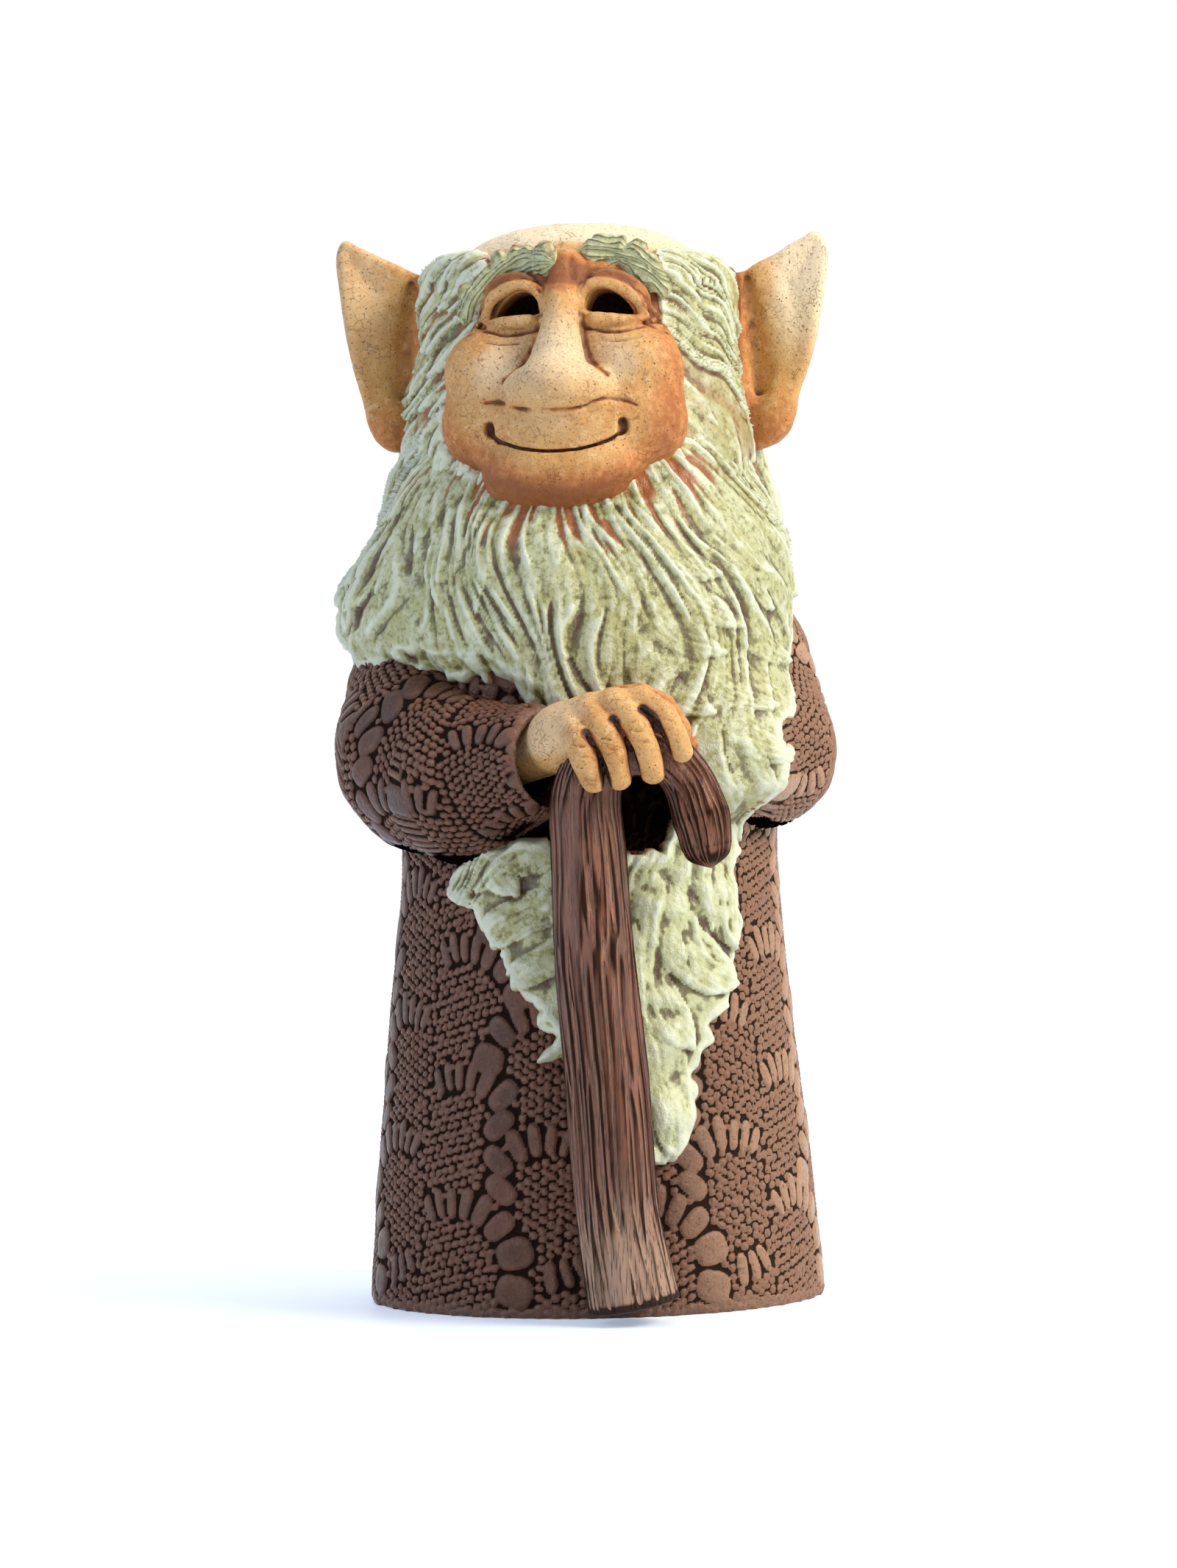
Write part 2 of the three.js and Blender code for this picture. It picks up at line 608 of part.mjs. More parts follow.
function beardFan() {
  const arms = [sleeveForm(1, SEAM), sleeveForm(-1, SEAM), rightHandForm(SEAM), leftHandForm(SEAM)];
  const tools = [core, faceSlab(SEAM), ...arms, stick(SEAM), ...earTools];
  return pared(cut(slab(fanPlace, fanClay, 20, 8), ...tools));
}

function beardTail() {
  const rightEdge = through([0, -46], [0.2, -40], [0.45, -25], [0.75, -11], [0.9, 2], [1, 18]);
  const leftEdge = through([0, 62], [0.25, 52], [0.5, 46], [0.75, 33], [0.9, 27], [1, 22]);
  const place = (u, v) => {
    const azimuth = lerp(rightEdge(v), leftEdge(v), u);
    return [azimuth, lerp(Math.min(TAIL_TOP, fanHem(azimuth)) - 2 * SEAM, TAIL_TOP - TAIL_LENGTH, v)];
  };
  const clay = (u, v) => TAIL_THICKNESS * (0.55 + 0.45 * Math.sin(Math.PI * u)) * (1 - 0.45 * v ** 2);
  return pared(cut(slab(place, clay, 12, 9), core, sleeveForm(-1, SEAM), sleeveForm(1, SEAM), stick(SEAM)));
}

// Arms

// The places that an arm goes through, lying against the robe.
function armPlaces(side) {
  const right = side < 0;
  const at = (azimuth, height, lift) => corePoint(side * azimuth, height, lift);
  const lift = (right ? RIGHT_CUFF_WIDTH : LEFT_CUFF_WIDTH) / 3;
  return {
    shoulder: at(98, SHOULDER_HEIGHT, -SHOULDER_THICKNESS / 2),
    elbow: at(right ? 64 : 70, ELBOW_HEIGHT, right ? -lift / 3 : 0),
    forearm: at(right ? 38 : 52, ELBOW_HEIGHT, right ? 0.4 * lift : -0.3 * lift),
    cuff: at(right ? 16 : 32, ELBOW_HEIGHT + GRIP_RISE / 3, right ? lift : 0.3 * lift),
  };
}

// Upper arm and forearm meet at a round elbow, which leaves a crease in the bend.
function sleeveForm(side, grow = 0) {
  const { shoulder, elbow, forearm, cuff } = armPlaces(side);
  const bag = side < 0 ? ELBOW_THICKNESS : LEFT_ELBOW_THICKNESS;
  const mouth = side < 0 ? RIGHT_CUFF_WIDTH : LEFT_CUFF_WIDTH;
  const upperWidth = (share) => lerp(SHOULDER_THICKNESS, 0.94 * bag, share);
  const upper = coil([shoulder, elbow], upperWidth, { stations: 2, sides: 13, grow });
  const foreWidth = (share) => lerp(0.98 * bag, mouth, share);
  const fore = coil([elbow, forearm, cuff], foreWidth, { stations: 5, sides: 13, grow });
  return join(upper, fore, ball(elbow, [bag, bag, bag], 13, grow));
}

const sleeve = (side) => pared(cut(sleeveForm(side), core, wrist(side, SEAM)));

// A place on the line of the forearm, some way past the mouth of the cuff.
function pastCuff(side, distance) {
  const { elbow, forearm, cuff } = armPlaces(side);
  const out = new THREE.CatmullRomCurve3([elbow, forearm, cuff]).getTangentAt(1);
  return cuff.clone().addScaledVector(out, distance);
}

// The wrist is a tenon in the end of the sleeve, and goes on into the hand.
function wrist(side, grow = 0) {
  const palm = side < 0 ? pastCuff(side, 0.35 * WRIST_WIDTH) : leftPalmCentre();
  const line = [pastCuff(side, -TENON_DEPTH), armPlaces(side).cuff, palm];
  return coil(line, () => WRIST_WIDTH, { stations: 4, sides: 12, grow });
}

// Walking stick: a straight shaft that stands against the hem, a half-circle crook and a short drooping end.

const CROOK_RADIUS = CROOK_SPAN / 2;

function crookCentre() {
  const hemFront = Math.sqrt((HEM_WIDTH / 2) ** 2 - STICK_FOOT_X ** 2) * DEPTH_SHARE;
  return new THREE.Vector3(
    STICK_TOP_X + CROOK_RADIUS,
    -hemFront - SEAM - STICK_FOOT_WIDTH / 2,
    CROOK_TOP_HEIGHT - CROOK_RADIUS,
  );
}

function stickLine() {
  const centre = crookCentre();
  const top = centre.clone().setX(STICK_TOP_X);
  const foot = new THREE.Vector3(STICK_FOOT_X, centre.y, STICK_FOOT_CLEARANCE);
  const shaft = steps(4, 0, 0.9).map((share) => foot.clone().lerp(top, share));
  const arch = steps(4, Math.PI, 0).map((turn) =>
    centre.clone().add(new THREE.Vector3(CROOK_RADIUS * Math.cos(turn), 0, CROOK_RADIUS * Math.sin(turn))),
  );
  const droop = new THREE.Vector3(1.25 * CROOK_RADIUS, -CROOK_RADIUS / 8, CROOK_RADIUS - CROOK_DROP);
  return [...shaft, ...arch, centre.clone().add(droop)];
}

function stick(grow = 0) {
  const line = stickLine();
  const shaftLength = CROOK_TOP_HEIGHT - CROOK_RADIUS - STICK_FOOT_CLEARANCE;
  const bend = shaftLength / new THREE.CatmullRomCurve3(line).getLength();
  const width = through(
    [0, STICK_FOOT_WIDTH],
    [bend / 2, 1.06 * STICK_TOP_WIDTH],
    [bend, STICK_TOP_WIDTH],
    [(1 + bend) / 2, CROOK_WIDTH],
    [0.97, 0.95 * CROOK_WIDTH],
    [1, CROOK_END_WIDTH],
  );
  return coil(line, width, { stations: 24, sides: 14, grow });
}

// Hands. The right hand lies over the crook with its fingers down the front, the left hand is behind it.

const overCrook = CROOK_WIDTH / 2 + SEAM;
const fromGrip = (x, y, z) => crookCentre().add(new THREE.Vector3(x, y, CROOK_RADIUS + z));
const leftPalmCentre = () => fromGrip(CROOK_RADIUS / 8, WRIST_WIDTH / 2, CROOK_WIDTH / 4);

function rightHandForm(grow = 0) {
  const palmLine = [
    pastCuff(-1, 0.3 * WRIST_WIDTH),
    fromGrip(-1.07 * CROOK_RADIUS, 0.4 * overCrook, overCrook / 2),
    fromGrip(-CROOK_RADIUS / 4, overCrook / 8, overCrook),
    fromGrip(CROOK_RADIUS / 2, overCrook / 8, 0.9 * overCrook),
  ];
  const palmWidth = swell(WRIST_WIDTH, 1.1 * WRIST_WIDTH, 0.94 * WRIST_WIDTH, 0.6 * WRIST_WIDTH);
  const palm = coil(palmLine, palmWidth, { stations: 8, sides: 12, grow });
  const fingers = [0, 1, 2, 3].map((i) => {
    const length = i === 3 ? LITTLE_FINGER_LENGTH : FINGER_LENGTH;
    const x = FINGER_WIDTH * (0.78 * i - 2);
    const lean = FINGER_WIDTH * (0.35 + 0.15 * i);
    const knuckle = fromGrip(x, -overCrook / 2, overCrook * (0.2 + 0.28 * i));
    const front = fromGrip(0, -overCrook - FINGER_WIDTH / 2, 0).y;
    const tip = new THREE.Vector3(knuckle.x + lean, front, knuckle.z - 0.75 * length);
    const bulge = new THREE.Vector3(0, -0.6 * FINGER_WIDTH, 0.35 * FINGER_WIDTH);
    const fold = knuckle.clone().lerp(tip, 0.5).add(bulge);
    return coil([knuckle, fold, tip], roundTip(FINGER_WIDTH, 0.25), { stations: 6, sides: 8, grow });
  });
  return join(palm, wrist(-1, grow), ...fingers);
}

function leftHandForm(grow = 0) {
  const palm = ball(leftPalmCentre(), [LEFT_PALM_LENGTH, WRIST_WIDTH, LEFT_PALM_WIDTH], 12, grow);
  return join(palm, wrist(1, grow));
}

// Finishes: bare clay with a dark wash, green glaze, and two brown oxide stains

const finish = (color, roughness) => new THREE.MeshStandardMaterial({ color, roughness, metalness: 0 });
const FLESH_CLAY = finish("#c98f58", 0.62);
const GREEN_GLAZE = finish("#b7bd94", 0.38);
const ROBE_STAIN = finish("#5b4136", 0.68);
const STICK_STAIN = finish("#5d4133", 0.66);

const pieces = [
  mesh("robe_body", robeBody(), ROBE_STAIN),
  mesh("head_shell", headShell(), FLESH_CLAY),
  mesh("face_mask", faceMask(), FLESH_CLAY),
  mesh("nose", pared(cut(noseForm(), faceSlab(SEAM))), FLESH_CLAY),
  mesh("right_upper_eyelid", eyelid(-1, true), FLESH_CLAY),
  mesh("left_upper_eyelid", eyelid(1, true), FLESH_CLAY),
  mesh("right_lower_eyelid", eyelid(-1, false), FLESH_CLAY),
  mesh("left_lower_eyelid", eyelid(1, false), FLESH_CLAY),
  mesh("right_eyebrow", eyebrow(-1), GREEN_GLAZE),
  mesh("left_eyebrow", eyebrow(1), GREEN_GLAZE),
  mesh("right_ear", pared(cut(earForm(-1), core)), FLESH_CLAY),
  mesh("left_ear", pared(cut(earForm(1), core)), FLESH_CLAY),
  mesh("right_side_hair", sideHair(-1), GREEN_GLAZE),
  mesh("left_side_hair", sideHair(1), GREEN_GLAZE),
  mesh("back_hair", backHair(), GREEN_GLAZE),
  mesh("beard_fan", beardFan(), GREEN_GLAZE),
  mesh("beard_tail", beardTail(), GREEN_GLAZE),
  mesh("right_sleeve", sleeve(-1), ROBE_STAIN),
  mesh("left_sleeve", sleeve(1), ROBE_STAIN),
  mesh("walking_stick", pared(stick()), STICK_STAIN),
  mesh("right_hand", pared(cut(rightHandForm(), stick(SEAM), core)), FLESH_CLAY),
  mesh("left_hand", pared(cut(leftHandForm(), stick(SEAM), rightHandForm(SEAM), core)), FLESH_CLAY),
];

// The origin is under the middle of the whole figure, on the surface that the hem stands on.
const figure = new THREE.Group();
figure.add(...pieces);
const middle = new THREE.Box3().setFromObject(figure).getCenter(new THREE.Vector3());
figure.position.set(-middle.x, -middle.y, 0);
const root = new THREE.Group();
root.add(figure);

export default root;
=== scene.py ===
# %% [markdown]
# # A stoneware gnome with a walking stick
# The imported CAD model gives the frame: where each piece is and how big it is. This lesson puts the skin on it. The
# real figure was built by hand from clay, so almost every surface is a press mark, a tool mark or a crease, and the
# finishes are a wiped oxide wash, a pale green glaze and a brown stain. First the frame is loaded, and the box of the
# robe gives the axis that the pieces are measured from.

# %% Load the imported frame
import math
from itertools import product

import bpy
import numpy as np
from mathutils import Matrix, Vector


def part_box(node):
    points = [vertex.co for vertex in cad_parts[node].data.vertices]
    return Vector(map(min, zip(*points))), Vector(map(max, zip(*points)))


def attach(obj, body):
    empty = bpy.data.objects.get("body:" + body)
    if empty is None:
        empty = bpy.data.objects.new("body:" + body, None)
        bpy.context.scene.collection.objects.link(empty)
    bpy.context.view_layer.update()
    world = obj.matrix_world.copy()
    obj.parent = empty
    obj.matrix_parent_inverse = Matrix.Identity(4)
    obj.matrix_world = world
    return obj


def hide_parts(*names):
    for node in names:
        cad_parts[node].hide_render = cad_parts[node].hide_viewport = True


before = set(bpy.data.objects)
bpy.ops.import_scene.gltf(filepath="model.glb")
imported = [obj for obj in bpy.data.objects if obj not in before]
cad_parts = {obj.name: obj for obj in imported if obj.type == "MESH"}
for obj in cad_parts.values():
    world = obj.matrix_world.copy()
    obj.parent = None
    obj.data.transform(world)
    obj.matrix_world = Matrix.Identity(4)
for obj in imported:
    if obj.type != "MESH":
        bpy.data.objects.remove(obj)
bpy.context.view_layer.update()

low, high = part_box("robe_body")
robe_axis = np.array([(low.x + high.x) / 2, (low.y + high.y) / 2, 0.0]) * 1000
print("robe axis in millimetres:", robe_axis.round(2))

# %% [markdown]
# ## Camera
# The figure was photographed from about a metre and a quarter away, level with its hands, with a portrait lens. A long
# lens keeps the ears from growing and the hem from shrinking. The camera is rolled by one degree, because the figure
# leans a little to the viewer's left in the picture. A Blender camera looks along its own -Z axis, so it is turned up
# by 90 degrees to look along +Y.

# %% Camera
CAMERA_DISTANCE = 1.25
CAMERA_HEIGHT = 0.1406
ROLL = math.radians(1.0)

camera_data = bpy.data.cameras.new("camera")
camera_data.sensor_fit = "VERTICAL"
camera_data.sensor_height = 24.0
camera_data.lens = 69.55
camera = bpy.data.objects.new("camera", camera_data)
camera.location = (robe_axis[0] / 1000, robe_axis[1] / 1000 - CAMERA_DISTANCE, CAMERA_HEIGHT)
camera.rotation_euler = (math.pi / 2, ROLL, 0)
bpy.context.collection.objects.link(camera)
bpy.context.scene.camera = camera
print("camera at", [round(value, 3) for value in camera.location])

# %% [markdown]
# ## Working in clay: three ways to make a surface
# A carved figure could be sculpted by hand in Blender, but a script needs a recipe. Three recipes cover everything
# here. A *relief* is a sheet of heights laid round the robe, which suits hair and stamped patterns. A *clay block* is a
# lattice of distances that forms can be joined to and cut from, which suits faces and hands. A *coil* is a tube with a
# varying outline, which suits the stick and the eyebrows. All three are in millimetres from the robe's axis, with +X to
# the viewer's right, -Y towards the viewer and +Z up. The first helper is the round core that everything sits on.

# %% The round core
DEPTH_SHARE = 112 / 124
WAIST, NECK, TEMPLE, CROWN = 116, 186, 266, 294
HEM_RADIUS, WAIST_RADIUS, HEAD_RADIUS, DOME_POWER = 62, 51, 39, 2.6


def ease(value, start, end):
    """A smooth step from 0 to 1."""
    share = np.clip((value - start) / (end - start), 0, 1)
    return share * share * (3 - 2 * share)


def core_radius(z):
    """Outside of robe and head at a height, across the figure."""
    skirt = HEM_RADIUS - (HEM_RADIUS - WAIST_RADIUS) * z / WAIST
    robe = np.where(z < WAIST, skirt, WAIST_RADIUS + 0.5 * ease(z, WAIST, NECK))
    head = robe - 12.5 * ease(z, NECK, TEMPLE)
    rise = np.clip((z - TEMPLE) / (CROWN - TEMPLE), 0, 1)
    return np.where(z < TEMPLE, head, HEAD_RADIUS * (1 - rise**DOME_POWER) ** (1 / DOME_POWER))


def on_core(azimuth, z, lift):
    """Point at an azimuth in degrees from the front, lifted off the core."""
    turn = np.radians(azimuth)
    radius = core_radius(z) + lift
    return np.stack([radius * np.sin(turn), -radius * np.cos(turn) * DEPTH_SHARE, z + 0 * radius], -1)


print("core radius at hem, waist and temple:", core_radius(np.array([0.0, WAIST, TEMPLE])).round(1))

# %% [markdown]
# Nothing made by hand is quite even, so the next helper is a smooth noise. In numpy it is a table of chance values at
# the corners of a lattice, eased from corner to corner. A seed names the table, so each run gives the same figure.

# %% Noise
NOISE_TABLE = 32


def grain(points, size, seed):
    """Smooth noise from -1 to 1, with features of about `size` millimetres."""
    table = np.random.default_rng(seed).uniform(-1, 1, [NOISE_TABLE] * 3).astype(np.float32)
    place = np.asarray(points) / size
    cell = np.floor(place).astype(int)
    part = place - cell
    part = part * part * (3 - 2 * part)
    total = np.zeros(place.shape[:-1])
    for corner in product((0, 1), repeat=3):
        weight = np.prod(np.where(corner, part, 1 - part), axis=-1)
        at = (cell + corner) % NOISE_TABLE
        total += weight * table[at[..., 0], at[..., 1], at[..., 2]]
    return total


sample = grain(np.random.default_rng(0).uniform(0, 99, (500, 3)), 9, 1)
print("noise from", sample.min().round(2), "to", sample.max().round(2))

# %% [markdown]
# ## From points to a piece
# A mesh is only points and faces. What makes fired clay look fired is that the potter brushes a dark wash over it and
# wipes it off again, so that it stays in the hollows. To paint that, each point needs to know how deep it lies. A
# smoothed copy of the mesh is made by moving every point to the middle of its neighbours a few times, and the distance
# back to that copy, along the normal, is the depth. It is kept as a point attribute named "hollow", in millimetres, and
# the finishes read it. A second attribute, "flush", is painted where a finish changes from place to place, and it also
# carries the light and shade that are painted into some colours.

# %% Smoothed copy
def smoothed(values, faces, rounds):
    """Each point's value replaced by the mean of its neighbours, several times."""
    pairs = np.concatenate([np.stack([faces[:, i], faces[:, i - 1]], 1) for i in range(faces.shape[1])])
    one, other = pairs.T
    count = len(values)
    links = np.maximum(1, np.bincount(one, minlength=count) + np.bincount(other, minlength=count))
    for _ in range(rounds):
        columns = []
        for column in values.T:
            ahead = np.bincount(one, column[other], count)
            back = np.bincount(other, column[one], count)
            columns.append((ahead + back) / links)
        values = np.stack(columns, 1)
    return values


# %% Make a mesh piece
def add_piece(name, points, faces, nodes, finish, flush=None, scale=14):
    """A mesh piece in place of CAD nodes. Scale is the smoothing that hollows are measured against."""
    mesh = bpy.data.meshes.new(name)
    used = np.unique(faces)
    order = np.full(len(points), -1)
    order[used] = np.arange(len(used))
    points, faces = points[used], order[faces]
    mesh.vertices.add(len(points))
    mesh.vertices.foreach_set("co", ((points + robe_axis) / 1000).astype(np.float32).ravel())
    mesh.loops.add(faces.size)
    mesh.loops.foreach_set("vertex_index", faces.astype(np.int32).ravel())
    mesh.polygons.add(len(faces))
    mesh.polygons.foreach_set("loop_start", np.arange(0, faces.size, faces.shape[1], dtype=np.int32))
    mesh.polygons.foreach_set("use_smooth", np.ones(len(faces), bool))
    mesh.update(calc_edges=True)
    normals = np.empty(len(points) * 3, np.float32)
    mesh.vertex_normals.foreach_get("vector", normals)
    depth = ((smoothed(points, faces, scale) - points) * normals.reshape(-1, 3)).sum(1)
    painted = np.zeros(len(points)) if flush is None else np.asarray(flush).ravel()[used]
    for label, values in (("hollow", depth), ("flush", painted)):
        mesh.attributes.new(label, "FLOAT", "POINT").data.foreach_set("value", values.astype(np.float32))
    piece = bpy.data.objects.new(name, mesh)
    bpy.context.collection.objects.link(piece)
    mesh.materials.append(finish)
    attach(piece, "root")
    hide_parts(*nodes)
    print(f"{name}: {len(points)} points, {len(faces)} faces, hollows {depth.min():.2f} to {depth.max():.2f} mm")


# %% Faces of a grid
def grid_faces(rows, columns, ring=False):
    """Quads of a grid of points in rows, joined round where it is a ring."""
    index = np.arange(rows * columns).reshape(rows, columns)
    if ring:
        index = np.concatenate([index, index[:, :1]], 1)
    return np.stack([index[:-1, :-1], index[:-1, 1:], index[1:, 1:], index[1:, :-1]], -1).reshape(-1, 4)


# %% [markdown]
# ## Finishes
# The figure has four finishes on one body. The clay is a buff stoneware fired to about 1200 degrees, so its refractive
# index is that of a silicate, about 1.5, and bare it is rough. Colours are written as sRGB hex values and turned to the
# linear values that a renderer needs. One small helper adds a node, sets it and links it.

# %% Colour and node helper
def colour(code):
    """Linear colour from an sRGB hex value."""
    shares = [int(code[i : i + 2], 16) / 255 for i in (1, 3, 5)]
    return (*[s / 12.92 if s <= 0.04045 else ((s + 0.055) / 1.055) ** 2.4 for s in shares], 1.0)


def set_inputs(tree, node, inputs):
    """Sets a node's inputs. Each is a value, or the socket that it is linked from."""
    for name, value in inputs.items():
        if isinstance(value, bpy.types.NodeSocket):
            tree.links.new(value, node.inputs[name])
        else:
            node.inputs[name].default_value = value


def add_node(tree, kind, inputs=None, **settings):
    """A node with its settings and links."""
    node = tree.nodes.new(kind)
    for name, value in settings.items():
        setattr(node, name, value)
    set_inputs(tree, node, inputs or {})
    return node


# %% [markdown]
# A finish reads from top to bottom like a glaze recipe: a ground colour, coats over it that follow a value such as a
# noise or the depth of a hollow, and then the firing, which gives gloss and fine bumps. Its coordinates are scaled to
# millimetres, so one over a real size is the scale of a noise.

# %% Coats and firing
NOISE, RANGE, MATH = "ShaderNodeTexNoise", "ShaderNodeMapRange", "ShaderNodeMath"
SMOOTH = {"interpolation_type": "SMOOTHSTEP"}


def new_finish(name):
    """An empty material: its tree and shader, coordinates in millimetres, and the two painted attributes."""
    finish = bpy.data.materials.new(name)
    finish.use_nodes = True
    tree = finish.node_tree
    place = add_node(tree, "ShaderNodeTexCoord").outputs["Object"]
    scaled = add_node(tree, "ShaderNodeVectorMath", {0: place, 3: 1000.0}, operation="SCALE").outputs[0]
    labels = ("hollow", "flush")
    painted = [add_node(tree, "ShaderNodeAttribute", attribute_name=label).outputs["Fac"] for label in labels]
    return finish, tree, tree.nodes["Principled BSDF"], scaled, *painted


def lay_coats(tree, under, *coats):
    """Coats over a ground. A coat is its colour, the value that it follows, and the two values between which it comes
    in, up to a most of 1 or less. Where only a value is given, that is the coat's share."""
    under = colour(under) if isinstance(under, str) else under
    for over, share, *span in coats:
        if span:
            start, end, most = (*span, 1.0)[:3]
            share = add_node(tree, RANGE, {0: share, 1: start, 2: end, 3: 0.0, 4: most}, **SMOOTH).outputs[0]
        over = colour(over) if isinstance(over, str) else over
        under = add_node(tree, "ShaderNodeMix", {0: share, 6: under, 7: over}, data_type="RGBA").outputs[2]
    return under


def fire(finish, tree, shader, surface, bumps):
    """Sets the shader, and stacks bumps on it, each a height and its size in millimetres."""
    normal = {}
    for height, size in bumps:
        inputs = {"Height": height, "Strength": 1.0, "Distance": size / 1000, **normal}
        normal = {"Normal": add_node(tree, "ShaderNodeBump", inputs).outputs[0]}
    set_inputs(tree, shader, {**surface, **normal})
    print("made", finish.name, "with", len(tree.nodes), "nodes")


# %% [markdown]
# ### Bare stoneware with a wiped wash
# The skin is bare buff clay. Its surface was smoothed with a damp sponge, which leaves fine grog, small pits and a
# crackle of drying. Iron slip was sponged on as an orange flush round the mouth, on the ear lobes and between the
# brows, and a dark wash was brushed in and wiped off. Real grog is about 0.3 mm, which just shows here. The skin turns
# paler towards the crown. The flush attribute runs from -1 for pale to 1 for orange, and on to 2 for the darkest wash.
# Some of it is painted light: pale painted highlights on the cheeks and the nose, orange-brown painted shade under the
# brows, and near-black painted shade between the fingers and in the deepest hollows.

# %% Flesh clay
flesh_clay, tree, shader, place, hollow, flush = new_finish("bare_buff_stoneware")
grit = {"Vector": place, "Detail": 3.0, "Roughness": 0.55}
cloud = add_node(tree, NOISE, {**grit, "Scale": 1 / 9.0}).outputs[0]
mottle = add_node(tree, NOISE, {**grit, "Scale": 1 / 2.2}).outputs[0]
fine = add_node(tree, NOISE, {**grit, "Scale": 1 / 0.5, "Detail": 2.0}).outputs[0]
orange = lay_coats(tree, "#ae5f2b", ("#cf8549", mottle, 0.35, 0.65))
ragged = add_node(tree, MATH, {0: hollow, 1: cloud}, operation="MULTIPLY").outputs[0]
skin = lay_coats(
    tree, "#d8a767",
    # Pale where the flush is negative: painted highlight on the cheeks and the nose.
    ("#c68e4f", cloud, 0.4, 0.7), ("#eccf9f", mottle, 0.5, 0.75, 0.5), ("#f0dcb8", flush, 0.0, -0.9),
    # Dark orange-brown under the brows is painted shade; near black above a flush of 1.5 is the darkest wash and the
    # painted shade between the fingers.
    (orange, flush, 0.05, 1.0, 0.82), ("#7a3f1c", flush, 0.85, 1.4, 0.8), ("#1c0f08", flush, 1.5, 1.9),
    # The near black in the deepest hollows is the wash with painted shade over it.
    ("#e6c18a", hollow, -0.08, -0.6, 0.3), ("#5a3018", ragged, 0.03, 0.2, 0.8), ("#24120a", hollow, 0.3, 0.62, 0.95),
)

# %% [markdown]
# Over the wash come the marks of drying and firing: a crackle with cells of 2.6 mm that shows only in patches, pores,
# and iron specks 1.5 mm apart, also in patches.

# %% Crackle, pores and specks
cells = {"Vector": place, "Randomness": 1.0}
crackle = {**cells, "Scale": 1 / 2.6}
crackle = add_node(tree, "ShaderNodeTexVoronoi", crackle, feature="DISTANCE_TO_EDGE").outputs["Distance"]
thin = add_node(tree, RANGE, {0: crackle, 1: 0.045, 2: 0.01}, **SMOOTH).outputs[0]
faint = add_node(tree, NOISE, {**grit, "Scale": 1 / 7.0}).outputs[0]
faint = add_node(tree, RANGE, {0: faint, 1: 0.5, 2: 0.62, 4: 0.5}, **SMOOTH).outputs[0]
lines = add_node(tree, MATH, {0: thin, 1: faint}, operation="MULTIPLY").outputs[0]
dots = add_node(tree, "ShaderNodeTexVoronoi", {**cells, "Scale": 1 / 1.5}).outputs[0]
specks = add_node(tree, RANGE, {0: dots, 1: 0.17, 2: 0.09}, **SMOOTH).outputs[0]
rare = add_node(tree, NOISE, {**grit, "Scale": 1 / 5.0}).outputs[0]
rare = add_node(tree, RANGE, {0: rare, 1: 0.46, 2: 0.58}, **SMOOTH).outputs[0]
spots = add_node(tree, MATH, {0: specks, 1: rare}, operation="MULTIPLY").outputs[0]
pores = add_node(tree, NOISE, {**grit, "Scale": 1 / 0.7, "Detail": 2.0}).outputs[0]
skin = lay_coats(tree, skin, ("#6b4326", lines), ("#8d6138", pores, 0.56, 0.68, 0.65), ("#4a2e1a", spots))
surface = {"Base Color": skin, "Roughness": 0.62, "IOR": 1.5, "Specular IOR Level": 0.35}
fire(flesh_clay, tree, shader, surface, [(mottle, 0.35), (fine, 0.12), (specks, -0.12), (lines, -0.15)])

# %% [markdown]
# ### Pale green glaze, breaking over the carving
# The hair is covered with a semi-matt green glaze of the ash kind. Where it lies thick it is creamy and opaque, in the
# thin hollows the olive shows through, and at sharp edges and hems it breaks to the brown body. The crests are painted
# palest, partly as painted highlight. The mottling is a couple of millimetres across, because the glaze curdles as it
# cools. It keeps a soft gloss, so the highest locks catch the window. A negative flush paints the glaze paler, as
# painted light on the tail's right and painted highlight on the brows.

# %% Green glaze
green_glaze, tree, shader, place, hollow, flush = new_finish("green_ash_glaze")
grit = {"Vector": place, "Detail": 3.0, "Roughness": 0.55}
curdle = add_node(tree, NOISE, {"Vector": place, "Scale": 1 / 1.6, "Detail": 4.0, "Roughness": 0.65}).outputs[0]
drift = add_node(tree, NOISE, {**grit, "Scale": 1 / 11.0}).outputs[0]
patches = add_node(tree, NOISE, {**grit, "Scale": 1 / 4.0}).outputs[0]
fine = add_node(tree, NOISE, {**grit, "Scale": 1 / 0.45, "Detail": 2.0}).outputs[0]
ragged = add_node(tree, MATH, {0: hollow, 1: curdle}, operation="MULTIPLY").outputs[0]
bare = lay_coats(tree, "#7a4a26", ("#b5652f", drift))
glaze = lay_coats(
    tree, "#c2c59a",
    ("#b3b177", drift, 0.35, 0.65), ("#85823c", curdle, 0.46, 0.64, 0.85), ("#d3d5ae", patches, 0.52, 0.68, 0.6),
    # Pale where the flush is negative: painted light on the tail and the brows. Palest on the crests: glaze colour with
    # a painted highlight.
    ("#dde3b4", flush, 0.0, -1.0, 0.8), ("#dfe4cb", hollow, -0.03, -0.45, 0.85), ("#625b2c", ragged, 0.01, 0.12, 0.9),
    ("#4d2c17", ragged, 0.1, 0.27, 0.94), (bare, flush, 0.35, 0.95),
)
gloss = add_node(tree, RANGE, {0: curdle, 1: 0.3, 2: 0.8, 3: 0.27, 4: 0.45}, **SMOOTH).outputs[0]
surface = {"Base Color": glaze, "Roughness": gloss, "IOR": 1.52}
fire(green_glaze, tree, shader, surface, [(curdle, 0.45), (fine, 0.12)])
